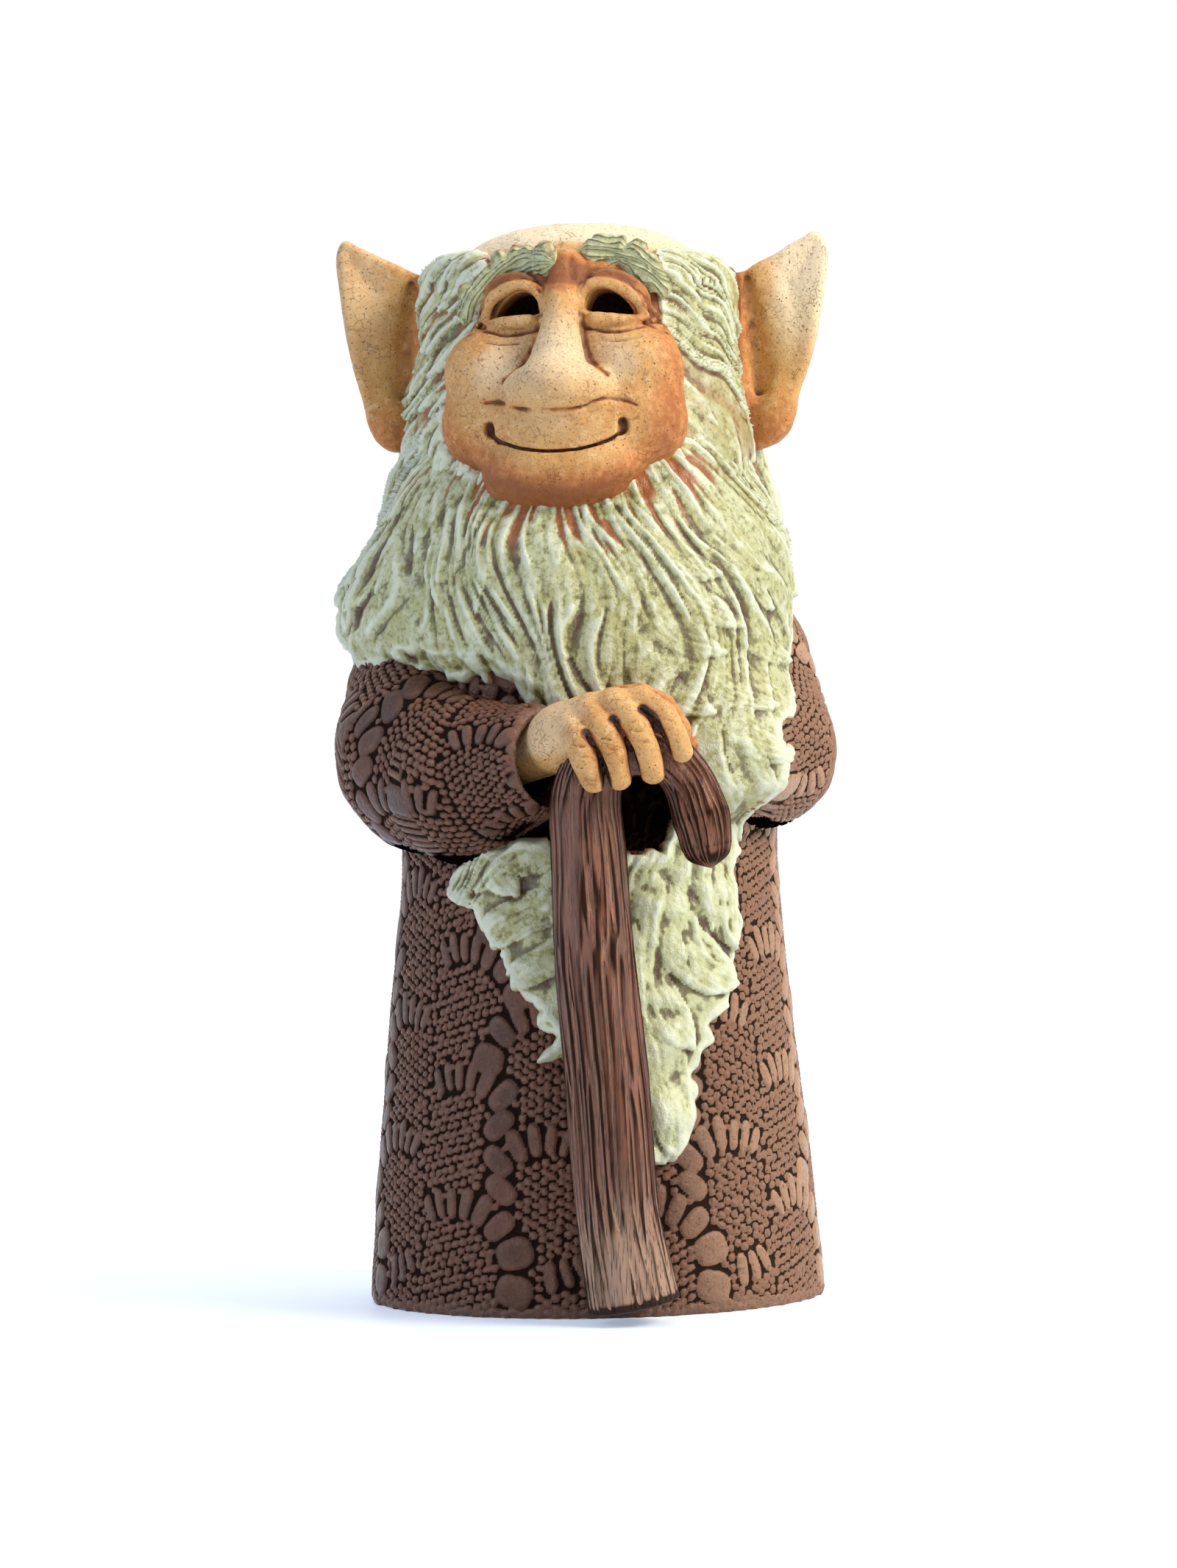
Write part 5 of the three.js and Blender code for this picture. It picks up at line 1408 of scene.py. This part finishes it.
# %% Paint the face
x, y, z = points.T
inward = -outline_distance(straight, x, z)
near_rim = (1 - ease(inward, 0, 9)) * (y < 0) * ease(288 - z, 0, 14)
flush = near_rim * (0.75 - 0.5 * ease(z, 236, 256) * (x < 0))
# Among the spots, the two darkest at 275.5 are painted shade under the brows, and the pale ones on the cheeks and the
# nose are painted highlights.
spots = [
    (0.7, 0, 219, 26, 7), (0.45, -24, 229, 12, 8), (0.6, 26, 240, 7, 14), (1.3, 0.8, 279, 8, 7),
    (1.2, 24, 267, 5, 7), (0.3, -26, 262, 5, 7), (1.9, -13, 275.5, 10, 3.4), (1.9, 13, 275.5, 10, 3.4),
    (-0.55, -17, 252, 10, 8), (-0.55, 17, 252, 10, 8), (0.5, -22, 266, 4, 4), (0.5, 22, 266, 4, 4),
    (-0.5, 0, 256, 10, 15), (-0.2, -2, 235, 14, 5),
]
for amount, *spot in spots:
    flush += amount * near_place(*spot)
wash = near_lines(drawn, 1.0) * (0.72 + 0.7 * grain(points, 2.0, 55)) * (1 - 0.25 * near_place(0, 241, 30, 3))
lid = near_lines(lids, 2.0)
flush = np.clip(np.where(lid > 0.2, np.minimum(flush, 0.7 - 0.8 * lid), flush), -0.6, 1.4)
flush = np.where(wash > 0.3, np.maximum(flush, 1.75 * wash), flush) - ease(z, 281, 288)
print("flush from", flush.min().round(2), "to", flush.max().round(2))

# %% Turn the face and add it
def turn_face(x, y):
    """Across and depth, turned with the face."""
    return x * math.cos(FACE_TURN) - y * math.sin(FACE_TURN), y * math.cos(FACE_TURN) + x * math.sin(FACE_TURN)


points = np.stack([*turn_face(x, y), z], 1)
face_nodes = ["head_shell", "face_mask", "nose"]
face_nodes += [f"{side}_{edge}_eyelid" for side, edge in product(("right", "left"), ("upper", "lower"))]
under_hair = (np.abs(np.degrees(np.arctan2(points[:, 0], -points[:, 1]))) > 56) & (points[:, 2] < 270)
under_hair = under_hair[faces].any(1)
add_piece("head", points, faces[~under_hair], face_nodes, flesh_clay, flush, 12)
add_piece("skull_under_hair", points, faces[under_hair], ["head_shell"], flesh_clay, flush, 12)

# %% [markdown]
# ### Ears
# Each ear is a leaf of clay, cupped forwards and pinched into a fold where it joins the head. A box with a subdivision
# modifier would give a leaf, but not the pinch, so it is a clay block again. Its outline is drawn as a closed curve
# from the front. The distance to that curve gives the rim, and a bowed middle surface gives the cup, so the leaf is
# everything near that surface and inside the curve. The lobe and the fold are added and cut afterwards.

# %% Ears
def make_ear(name, node, side, corners, pale, seed):
    """An ear on a side, -1 or 1, inside an outline, with the strength of the painted highlight on its leaf."""
    ear = Clay((min(side * 34, side * 70), -8, 228), (max(side * 34, side * 70), 20, 296), 0.5)
    x, y, z = np.meshgrid(*ear.axes, indexing="ij")
    edge = outline_distance(corners, x[:, 0], z[:, 0])[:, None, :] + 0 * y
    cup = 3.0 + 3.4 * ease(-edge, 0.0, 12.0) + 1.4 * ease(z, 262, 290)
    leaf = np.abs(y - cup) - 2.6 - 0.5 * ease(-edge, 2, 10)
    ear.distance = -soft_min(-leaf, -edge, 3.0).astype(np.float32)
    ear.egg((side * 53, 4.0, 242), (5.0, 4.5, 7.0), 5)
    fold = [(side * 44, 1.0, 276), (side * 47.5, 1.5, 266), (side * 49.5, 2.0, 256), (side * 50, 3, 249)]
    ear.roll(fold, [2.0, 2.6, 2.4, 1.2], 4.0, cut=True)
    crease = [(side * 46.5, 3.6, 279), (side * 47.5, 4.6, 268), (side * 48.5, 5.4, 257), (side * 49, 5.5, 246)]
    ear.roll(crease, [0.6, 1.5, 1.6, 0.6], 3.0, cut=True)
    ridge = [(side * 51, 5.5, 281), (side * 56, 6.5, 271), (side * 57, 6.5, 258), (side * 55, 5, 248)]
    ear.roll(ridge, [1.5, 2.6, 2.6, 1.5], 4.0)
    points, faces = take_skin(ear)
    points = roughen(points, 0.12, 2.0, seed)
    x, y, z = points.T
    flush = 0.9 * ease(252 - z, 0, 18) + 0.7 * ease(51 - side * x, 0, 6)
    # Paler on the upper outer part: a painted highlight, stronger on the far ear, on the window side.
    flush = flush - pale * ease(z, 246, 276) * ease(side * x, 48, 58)
    # Darker by the crease under the hair: painted shade.
    flush = flush + 0.6 * ease(46 - side * x, 0, 3) * ease(z, 244, 256)
    add_piece(name, points, faces, [node], flesh_clay, np.clip(flush, -0.8, 1.3), 7)


near_ear = [
    (-40, 281), (-45, 282), (-53, 286), (-61, 290), (-65, 292.5), (-67.5, 288), (-66.8, 280), (-65.6, 270),
    (-63.5, 258), (-60.5, 247), (-56.5, 238), (-51.5, 232.5), (-46.5, 234), (-41, 241), (-37, 255), (-37, 272),
]
far_ear = [
    (40, 281), (45, 281), (53, 285.5), (60.5, 290), (66, 293), (69, 287.5), (68, 278), (66, 266), (63.5, 256),
    (59.5, 246), (55.5, 237.5), (50, 231.5), (45, 232), (40, 240), (37, 255), (37, 272),
]
make_ear("right_ear_leaf", "right_ear", -1, near_ear, 0.3, 61)
make_ear("left_ear_leaf", "left_ear", 1, far_ear, 0.8, 67)

# %% [markdown]
# ### Hands
# The near hand is folded over the crook of the stick, the far one lies behind it. A hand is a thick palm with four
# coils pressed on as fingers. The gaps between fingers were cut with a knife and hold the dark wash, so they are cut
# here too, and their deep parts are painted near black as shade. A skin modifier could make the fingers, but soft
# joins and cuts are easier in a clay block.

# %% Near hand
hand = Clay((-30, -92, 132), (36, -40, 174), 0.42)
hand.roll([(-22, -47, 147), (-12, -57, 150.5)], [7.5, 8.0])
hand.egg((-8, -64, 152.0), (8.4, 9.0, 8.6), 3)
hand.roll([(-5, -68, 154.8), (2, -71.0, 157.4), (9, -72, 159.2), (16, -71, 158.8)], [7.4, 7.2, 6.2, 4.6], 4)
fingers = [
    [(-4.2, -74, 155.5), (-2.6, -79.6, 152), (-0.4, -81.2, 146), (1.4, -79.4, 141.6)],
    [(1.0, -75, 158.6), (4.4, -80.8, 153.6), (6.6, -82.2, 148), (8.0, -80.2, 142.2)],
    [(7.0, -75.5, 161.0), (11.8, -81, 155.6), (14.6, -82.2, 149.6), (16.6, -80.2, 143.6)],
    [(13.6, -74.5, 162.0), (19.4, -79.2, 158.2), (22.6, -80.4, 152.4), (24.2, -78.6, 148.6)],
]
for number, finger in enumerate(fingers):
    hand.roll(finger, [4.4, 4.0, 3.7, 3.4] if number < 3 else [3.8, 3.6, 3.3, 2.9], 1.6)
print("near hand:", len(fingers), "fingers")

# %% Gaps and creases of the fingers
gaps = [
    [(-2.0, 155.2), (1.6, 151.2), (3.6, 146.4), (4.6, 141.0), (5.0, 137.0)],
    [(5.0, 158.9), (9.0, 154.2), (11.2, 149.2), (12.2, 142.6), (12.6, 138.0)],
    [(12.4, 161.2), (17.0, 157.4), (19.6, 151.2), (20.6, 146.2), (21.0, 141.0)],
]
sink = (3.4, 1.0, 0, 0, 0)
for gap in gaps:
    for depth, wide in ((-87.0, 1.0), (-85.0, 1.0), (-83.0, 1.0), (-80.6, 0.95), (-78.2, 0.8)):
        places = [(x + 0.9 * (i < 2), depth + sink[i], z - 1.6 * (i < 2)) for i, (x, z) in enumerate(gap)]
        hand.roll(places, np.array([0.3, 0.7, 1.0, 1.25, 1.4]) * wide, 0.7, cut=True)
for finger in fingers:
    for share in (0.3, 0.75):
        middle = np.array(finger[1]) * (1 - share) + np.array(finger[2]) * share + [0, -3.6, 0]
        hand.roll([middle + [-2.0, 0.5, 0.5], middle, middle + [2.0, 0.5, -0.3]], [0.15, 0.3, 0.15], 0.6, cut=True)
points, faces = take_skin(hand)
points = roughen(points, 0.1, 1.5, 71)
print("points on the near hand:", len(points))

# %% Paint of the near hand
x, y, z = points.T
flush = 0.5 * ease(x, 8, 22) * ease(z, 158, 164) - 0.4 * ease(-x, -6, 6)
flush += 0.2 * ease(-y, 78, 83)
flush += 0.5 * ease(150 - z, 0, 6) * ease(-2 - x, 0, 4)
# Near black in the deep part of each gap between the fingers: painted shade.
for gap in gaps:
    route = curve_through(gap, np.linspace(0, 1, 40))
    away = np.linalg.norm(points[:, None, ::2] - route[None, 4:], axis=2).min(1)
    shade = ease(1.8 - away, 0, 0.7) * ease(y, -85.0, -82.4)
    flush = np.where(shade > 0.05, np.maximum(flush, 2.0 * shade), flush)
add_piece("right_hand_skin", points, faces, ["right_hand"], flesh_clay, flush, 12)

# %% Far hand
hand = Clay((-6, -78, 134), (44, -40, 172), 0.5)
hand.egg((11.0, -58.5, 157.4), (12.4, 9.5, 8.4))
hand.roll([(14, -56, 155), (27, -45, 149)], [6.5, 6.5], 3)
hand.roll([(6, -64, 163.2), (14, -66, 163.6), (20, -67.5, 160.6), (24.5, -67, 154.5)], [2.6, 3.2, 3.2, 2.6], 2)
points, faces = take_skin(hand)
points = roughen(points, 0.12, 1.6, 77)
add_piece("left_hand_skin", points, faces, ["left_hand"], flesh_clay, 0.7 + 0 * points[:, 0], 12)

# %% [markdown]
# ### Sleeves
# The sleeves are the same stamped slab, rolled round stuffing: wide at the elbow, narrower at the cuff, with a hollow
# mouth. A cloth simulation would give soft folds, which stiff clay doesn't have. So the form is made as a clay block,
# and then the leather map is wrapped round the arm: each point finds the nearest place on the arm's line, and its
# distance along and around that line says where it is on the map.

# %% Normals, and places round a line
def normals_of(points, faces):
    """Unit normals of the points."""
    crossing = np.cross(points[faces[:, 2]] - points[faces[:, 0]], points[faces[:, 3]] - points[faces[:, 1]])
    total = np.zeros(points.shape)
    for corner in range(4):
        for axis in range(3):
            total[:, axis] += np.bincount(faces[:, corner], crossing[:, axis], len(points))
    return total / (np.linalg.norm(total, axis=1, keepdims=True) + 1e-9)


def wrap_places(points, line):
    """Millimetres along and around a line for each point."""
    best = np.full(len(points), 1e6)
    along, angle = np.zeros(len(points)), np.zeros(len(points))
    gone = 0.0
    for number, (a, b) in enumerate(zip(line[:-1], line[1:])):
        d = b - a
        length = np.linalg.norm(d)
        share = np.clip((points - a) @ d / length**2, 0, 1 if number < len(line) - 2 else 2)
        away = points - a - share[:, None] * d
        distance = np.linalg.norm(away, axis=1)
        side = np.cross(d / length, [0, 0, 1.0])
        side = side / np.linalg.norm(side)
        turn = np.arctan2(away @ np.cross(side, d / length), away @ side)
        closer = distance < best
        best = np.where(closer, distance, best)
        along = np.where(closer, gone + share * length, along)
        angle = np.where(closer, turn, angle)
        gone += length
    return along, angle


# %% Sleeves
def make_sleeve(name, node, line, radii, mouth, shift, seed):
    """A stuffed sleeve along an arm, with the radius of its mouth and its shift on the leather map."""
    line = np.array(line, float)
    low, high = line.min(0) - max(radii) - 2, line.max(0) + max(radii) + 2
    sleeve = Clay(low, high, 0.62)
    sleeve.roll(line[:2], radii[:2])
    sleeve.roll(line[1:], radii[1:], 5)
    direction = (line[-1] - line[-2]) / np.linalg.norm(line[-1] - line[-2])
    cut = [line[-1] - 8 * direction, line[-1] + 26 * direction]
    sleeve.roll(cut, [mouth, mouth], 1.5, cut=True)
    points, faces = take_skin(sleeve)
    along, angle = wrap_places(points, line)
    s, t = along * 1.05 + shift, (angle + math.pi) * 21 + 20
    normal = normals_of(points, faces)
    length = np.linalg.norm(np.diff(line, axis=0), axis=1).sum()
    rim = length + math.sqrt(radii[-1] ** 2 - mouth**2)
    height = (read_map(scale_height, s, t) - 0.6) * (0.15 + 0.85 * ease(rim - along, 0, 4))
    soft = grain(points, 16, seed) * 1.1 + grain(points, 7, seed + 1) * 0.35
    points = points + normal * (height * 1.1 + soft)[:, None]
    # Near black on the downward underside near the robe: painted shade where the sleeve meets the robe.
    painted_shade_under_sleeve = ease(-normal[:, 2], 0.84, 0.96) * (points[:, 2] < 131)
    beads = read_map(bead_share, s, t) * (1 - painted_shade_under_sleeve) - 1.2 * painted_shade_under_sleeve
    add_piece(name, points, faces, [node], robe_stain, beads, 9)


near_arm = [(-43.6, -3, 166), (-43, -18.5, 149), (-33, -37, 142.8), (-16.0, -55.0, 146)]
far_arm = [(42, 1, 173), (46.3, -15.5, 149), (41, -31, 146.5), (26, -42.5, 146)]
make_sleeve("right_sleeve_cloth", "right_sleeve", near_arm, [22, 24.6, 22.4, 15.5], 12.0, 42, 81)
make_sleeve("left_sleeve_cloth", "left_sleeve", far_arm, [20.3, 19.8, 16, 9.5], 7.0, 120, 85)

# %% [markdown]
# ## Coils: stick and eyebrows
# A coil is a tube along a line. Its rings keep from twisting by carrying the last ring's direction along to the next.
# The ring's radius changes with the way along and the turn around, and that is where the scoring of the stick and the
# combed strands of the brows come from.

# %% Coil helper
def spline(places, count):
    """Even points on a smooth line through places."""
    places = np.array(places, float)
    padded = np.concatenate([2 * places[:1] - places[1:2], places, 2 * places[-1:] - places[-2:-1]])
    fine = []
    for a, b, c, d in zip(padded, padded[1:], padded[2:], padded[3:]):
        for u in np.linspace(0, 1, 24, endpoint=False):
            bend = (2 * a - 5 * b + 4 * c - d) * u**2 + (3 * b - a - 3 * c + d) * u**3
            fine.append(0.5 * (2 * b + (c - a) * u + bend))
    fine = np.array([*fine, places[-1]])
    gone = np.concatenate([[0], np.cumsum(np.linalg.norm(np.diff(fine, axis=0), axis=1))])
    even = np.linspace(0, gone[-1], count)
    return np.stack([np.interp(even, gone, fine[:, i]) for i in range(3)], 1), even


def coil_points(line, sides, radius):
    """Points of a tube. Radius takes the share along and the turn, both as grids."""
    ahead = np.gradient(line, axis=0)
    ahead /= np.linalg.norm(ahead, axis=1, keepdims=True)
    side = np.cross(ahead[0], [0, -1.0, 0])
    rings = []
    for direction in ahead:
        side = side - direction * (side @ direction)
        side = side / np.linalg.norm(side)
        rings.append((side, np.cross(direction, side)))
    turn = np.linspace(0, 2 * math.pi, sides, endpoint=False)
    share, around = np.meshgrid(np.linspace(0, 1, len(line)), turn, indexing="ij")
    reach = radius(share, around)
    one, two = (np.array([ring[i] for ring in rings])[:, None, :] for i in (0, 1))
    spread = one * np.cos(around)[..., None] + two * np.sin(around)[..., None]
    return line[:, None, :] + spread * reach[..., None]


# %% [markdown]
# ### Walking stick
# The stick is thick, cut flat at the foot, and bent over into a short crook whose end droops in front of the beard. It
# was scored from end to end with a needle, and has three gouged knots. A curve with a bevel would give the bend, but
# not grooves that run with it, so the coil is made point by point.

# %% Stick
stick_low, stick_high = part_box("walking_stick")
stick_y = (stick_low.y + stick_high.y) * 500 - robe_axis[1]
route = [
    (9.8, 4), (8.2, 13), (5.6, 30), (3.8, 60), (1.1, 92), (-0.5, 122), (-0.9, 137), (2.6, 146), (11, 150),
    (20, 147.5), (26, 140.8), (29.2, 131.5), (30.6, 124), (31.6, 118.2),
]
line, along = spline([(x, stick_y - (1.5 if i > 10 else 0), z) for i, (x, z) in enumerate(route)], 400)
girth = np.interp(along / along[-1], [0, 0.05, 0.14, 0.3, 0.46, 0.6, 0.68, 0.78, 0.86, 0.93, 0.97, 1],
                  [24.4, 23.4, 21.6, 22.0, 21.6, 20.2, 18.8, 15.5, 14.0, 15.6, 13.2, 9.0]) / 2

STICK_SIDES = 188
KNOTS = ((107, 4.75, 1.6), (92, 4.95, 0.9), (60, 4.4, 0.6))


def stick_radius(share, around):
    """Half the girth, with the scoring and the knots, each a height, a turn and a depth."""
    mm = share * along[-1]
    ring = np.stack([np.cos(around) * 10, np.sin(around) * 10, mm], -1)
    wide = grain(ring / [1, 1, 14], 2.6, 91)
    needle = np.exp(-((grain(ring / [1, 1, 26], 1.5, 92) / 0.13) ** 2))
    lumps = grain(ring / [1, 1, 3], 8, 93)
    score = -0.65 * needle - 0.9 * ease(wide, 0.35, 0.6) + 0.35 * wide + 0.5 * lumps
    for knot_mm, knot_turn, deep in KNOTS:
        gap = np.abs((around - knot_turn + math.pi) % (2 * math.pi) - math.pi) * 10
        score = score - deep * np.exp(-((gap / 1.3) ** 2) - ((mm - knot_mm) / 4.2) ** 2)
    closing = np.sqrt(np.clip(1 - ease(mm, along[-1] - 4.5, along[-1]) ** 2, 0, 1))
    foot = np.sqrt(np.clip(mm / 1.6 + 0.55, 0, 1))
    return np.maximum((evenly(girth, share) + score) * closing * foot, 0.02)


rings = coil_points(line, STICK_SIDES, stick_radius)
cap = line[0] + (rings[0] - line[0]) * 0.02 + [0, 0, 0.25]
points = np.concatenate([cap[None], rings]).reshape(-1, 3)
faces = grid_faces(len(line) + 1, STICK_SIDES, ring=True)[:, ::-1]
pale_foot = ease(52 - points[:, 2], 0, 46)
# Orange painted highlight on the end of the crook.
painted_highlight_on_crook = ease(points[:, 0], 21, 27) * ease(points[:, 2], 112, 122)
flush = pale_foot - painted_highlight_on_crook
add_piece("walking_stick_wood", points, faces, ["walking_stick"], stick_stain, flush, 9)

# %% [markdown]
# ### Eyebrows
# Each brow is a fat lock of the same glazed hair, arched over the eye and combed along its length. It is a short coil
# with strands as ridges that drift round it, and it lies on the face where the lattice says that the skin is. The
# lattice itself is too coarse for the strands.

# %% Eyebrows
BROW_RINGS, BROW_SIDES = 130, 96


def make_brow(name, node, places, girths, seed, lift):
    """A brow through places across and up, with its half girths and how far its outer end stands off."""
    path = []
    for across, z in places:
        ahead = skin_ahead(across, z) - 0.4 - lift * float(ease(abs(across), 15, 26))
        path.append((*turn_face(across, ahead), z))
    line, along = spline(path, BROW_RINGS)

    def radius(share, around):
        mm = share * along[-1]
        thick = evenly(girths, share)
        level = np.cos(around) * thick
        strands = grain(np.stack([level, np.sin(around) * 2, mm / 4], -1), 1.6, seed)
        lap = (level / 1.5 + 0.1 * mm + 0.9 * strands) % 1
        tufts = grain(np.stack([level + 0.3 * mm, np.sin(around) * 2, mm / 5], -1), 2.0, seed + 1)
        ends = np.sqrt(np.clip(np.minimum(share, 1 - share) * 14, 0.0, 1))
        flat = 1 / np.sqrt((np.cos(around) / thick) ** 2 + (np.sin(around) / np.minimum(3.0, thick)) ** 2)
        torn = grain(np.stack([mm, np.sign(np.cos(around)) * 9, 0 * mm], -1), 1.7, seed + 2)
        ridge = 0.9 * np.where(lap < 0.8, lap / 0.8, 5 - 5 * lap) - 0.5
        rough = ridge + 0.6 * tufts + 1.3 * np.cos(around) ** 2 * torn
        return np.maximum((flat + rough) * ends, 0.02)

    points = coil_points(line, BROW_SIDES, radius).reshape(-1, 3)
    faces = grid_faces(BROW_RINGS, BROW_SIDES, ring=True)[:, ::-1]
    rim = np.abs(np.cos(np.linspace(0, 2 * math.pi, BROW_SIDES, endpoint=False))) ** 10 + np.zeros((BROW_RINGS, 1))
    # Bare brown along the upper and lower edges; the rest painted paler, as painted highlight on the strands.
    add_piece(name, points, faces, [node], green_glaze, 1.2 * rim - 0.5, 5)


right_brow = [(-27.6, 264.6), (-24.6, 270.6), (-20.6, 275.2), (-14, 279.6), (-7, 281.0), (-1.0, 279.4)]
left_brow = [(4.9, 283.6), (10, 283.2), (13.9, 282.4), (19.6, 280.2), (24.2, 276.3), (27.6, 271)]
make_brow("right_eyebrow_lock", "right_eyebrow", right_brow, [2.0, 3.9, 4.5, 5.2, 5.4, 4.6], 95, 5.4)
make_brow("left_eyebrow_lock", "left_eyebrow", left_brow, [3.0, 4.6, 5.0, 4.8, 4.0, 1.6], 97, 3.2)

# %% [markdown]
# ## Floor, light and background
# The picture is high key: a white sweep, a soft window from the right and white walls around. A picture of a room could
# light it, but that would be one more file. So the world gives the walls, one large lamp the window, one the ceiling,
# and a weak cool one on the left puts a sheen on the dark scales. The background is white only where the camera or a
# reflection sees it, so it adds no light to the figure. The floor takes the shadow and is otherwise white as well, but
# its glow is weaker round the figure, which gives a soft, bluish painted shadow there.

# %% Floor
def seen_rays(tree):
    """1 where the camera sees a surface, itself or mirrored, and 0 for the light that the surface gives."""
    rays = add_node(tree, "ShaderNodeLightPath").outputs
    seen = rays["Is Camera Ray"]
    for kind in ("Is Glossy Ray", "Is Transmission Ray"):
        seen = add_node(tree, MATH, {0: seen, 1: rays[kind]}, operation="MAXIMUM").outputs[0]
    return seen


bpy.ops.mesh.primitive_plane_add(size=6.0, location=(0, 0, 0))
floor = bpy.context.object
floor.name = "floor"
floor_paint = bpy.data.materials.new("white_sweep")
floor_paint.use_nodes = True
tree = floor_paint.node_tree
shader = tree.nodes["Principled BSDF"]
shader.inputs["Base Color"].default_value = colour("#eef4fc")
shader.inputs["Roughness"].default_value = 0.5
place = add_node(tree, "ShaderNodeTexCoord").outputs["Object"]
far = add_node(tree, "ShaderNodeVectorMath", {0: place}, operation="LENGTH").outputs["Value"]
# The glow is weaker near the figure, so the floor round it is painted darker and bluer: a painted shadow besides the
# cast one.
floor_glow_with_painted_shadow = add_node(tree, RANGE, {0: far, 1: 0.1, 2: 0.5, 3: 0.44, 4: 0.85}, **SMOOTH).outputs[0]
glow = add_node(tree, "ShaderNodeEmission", {"Color": colour("#dceaff"), "Strength": floor_glow_with_painted_shadow})
empty = add_node(tree, "ShaderNodeEmission", {"Color": colour("#000000"), "Strength": 0.0})
lit = add_node(tree, "ShaderNodeMixShader", {0: seen_rays(tree), 1: empty.outputs[0], 2: glow.outputs[0]})
both = add_node(tree, "ShaderNodeAddShader", {0: shader.outputs[0], 1: lit.outputs[0]})
tree.links.new(both.outputs[0], tree.nodes["Material Output"].inputs["Surface"])
floor.data.materials.append(floor_paint)
print("floor of", floor.dimensions.x, "m")

# %% Room
world = bpy.data.worlds.new("white_room")
bpy.context.scene.world = world
world.use_nodes = True
tree = world.node_tree
room = add_node(tree, "ShaderNodeBackground", {"Color": colour("#fbfcff"), "Strength": 0.34})
white = add_node(tree, "ShaderNodeBackground", {"Color": colour("#ffffff"), "Strength": 1.0})
mixed = add_node(tree, "ShaderNodeMixShader", {0: seen_rays(tree), 1: room.outputs[0], 2: white.outputs[0]})
tree.links.new(mixed.outputs[0], tree.nodes["World Output"].inputs["Surface"])
print("made", world.name)

# %% Lamps
def add_lamp(name, place, size, power, tint):
    """A round lamp that looks at the middle of the figure. Size is in metres and power in watts."""
    data = bpy.data.lights.new(name, "AREA")
    data.shape, data.size, data.energy, data.color = "DISK", size, power, colour(tint)[:3]
    lamp = bpy.data.objects.new(name, data)
    lamp.location = place
    aim = np.array([0, 0, 0.16]) - np.array(place)
    lamp.rotation_euler = (math.acos(-aim[2] / np.linalg.norm(aim)), 0, math.atan2(aim[0], -aim[1]) + math.pi)
    bpy.context.collection.objects.link(lamp)


add_lamp("window", (1.05, -0.55, 1.0), 0.7, 20.0, "#fff8ee")
add_lamp("ceiling", (0.3, 0.25, 1.5), 0.9, 7.5, "#ffffff")
add_lamp("sky", (-1.1, -0.45, 0.75), 0.45, 5.0, "#c0d6ff")
bpy.context.scene.view_settings.view_transform = "Standard"
print("lamps:", [lamp.name for lamp in bpy.data.lights])
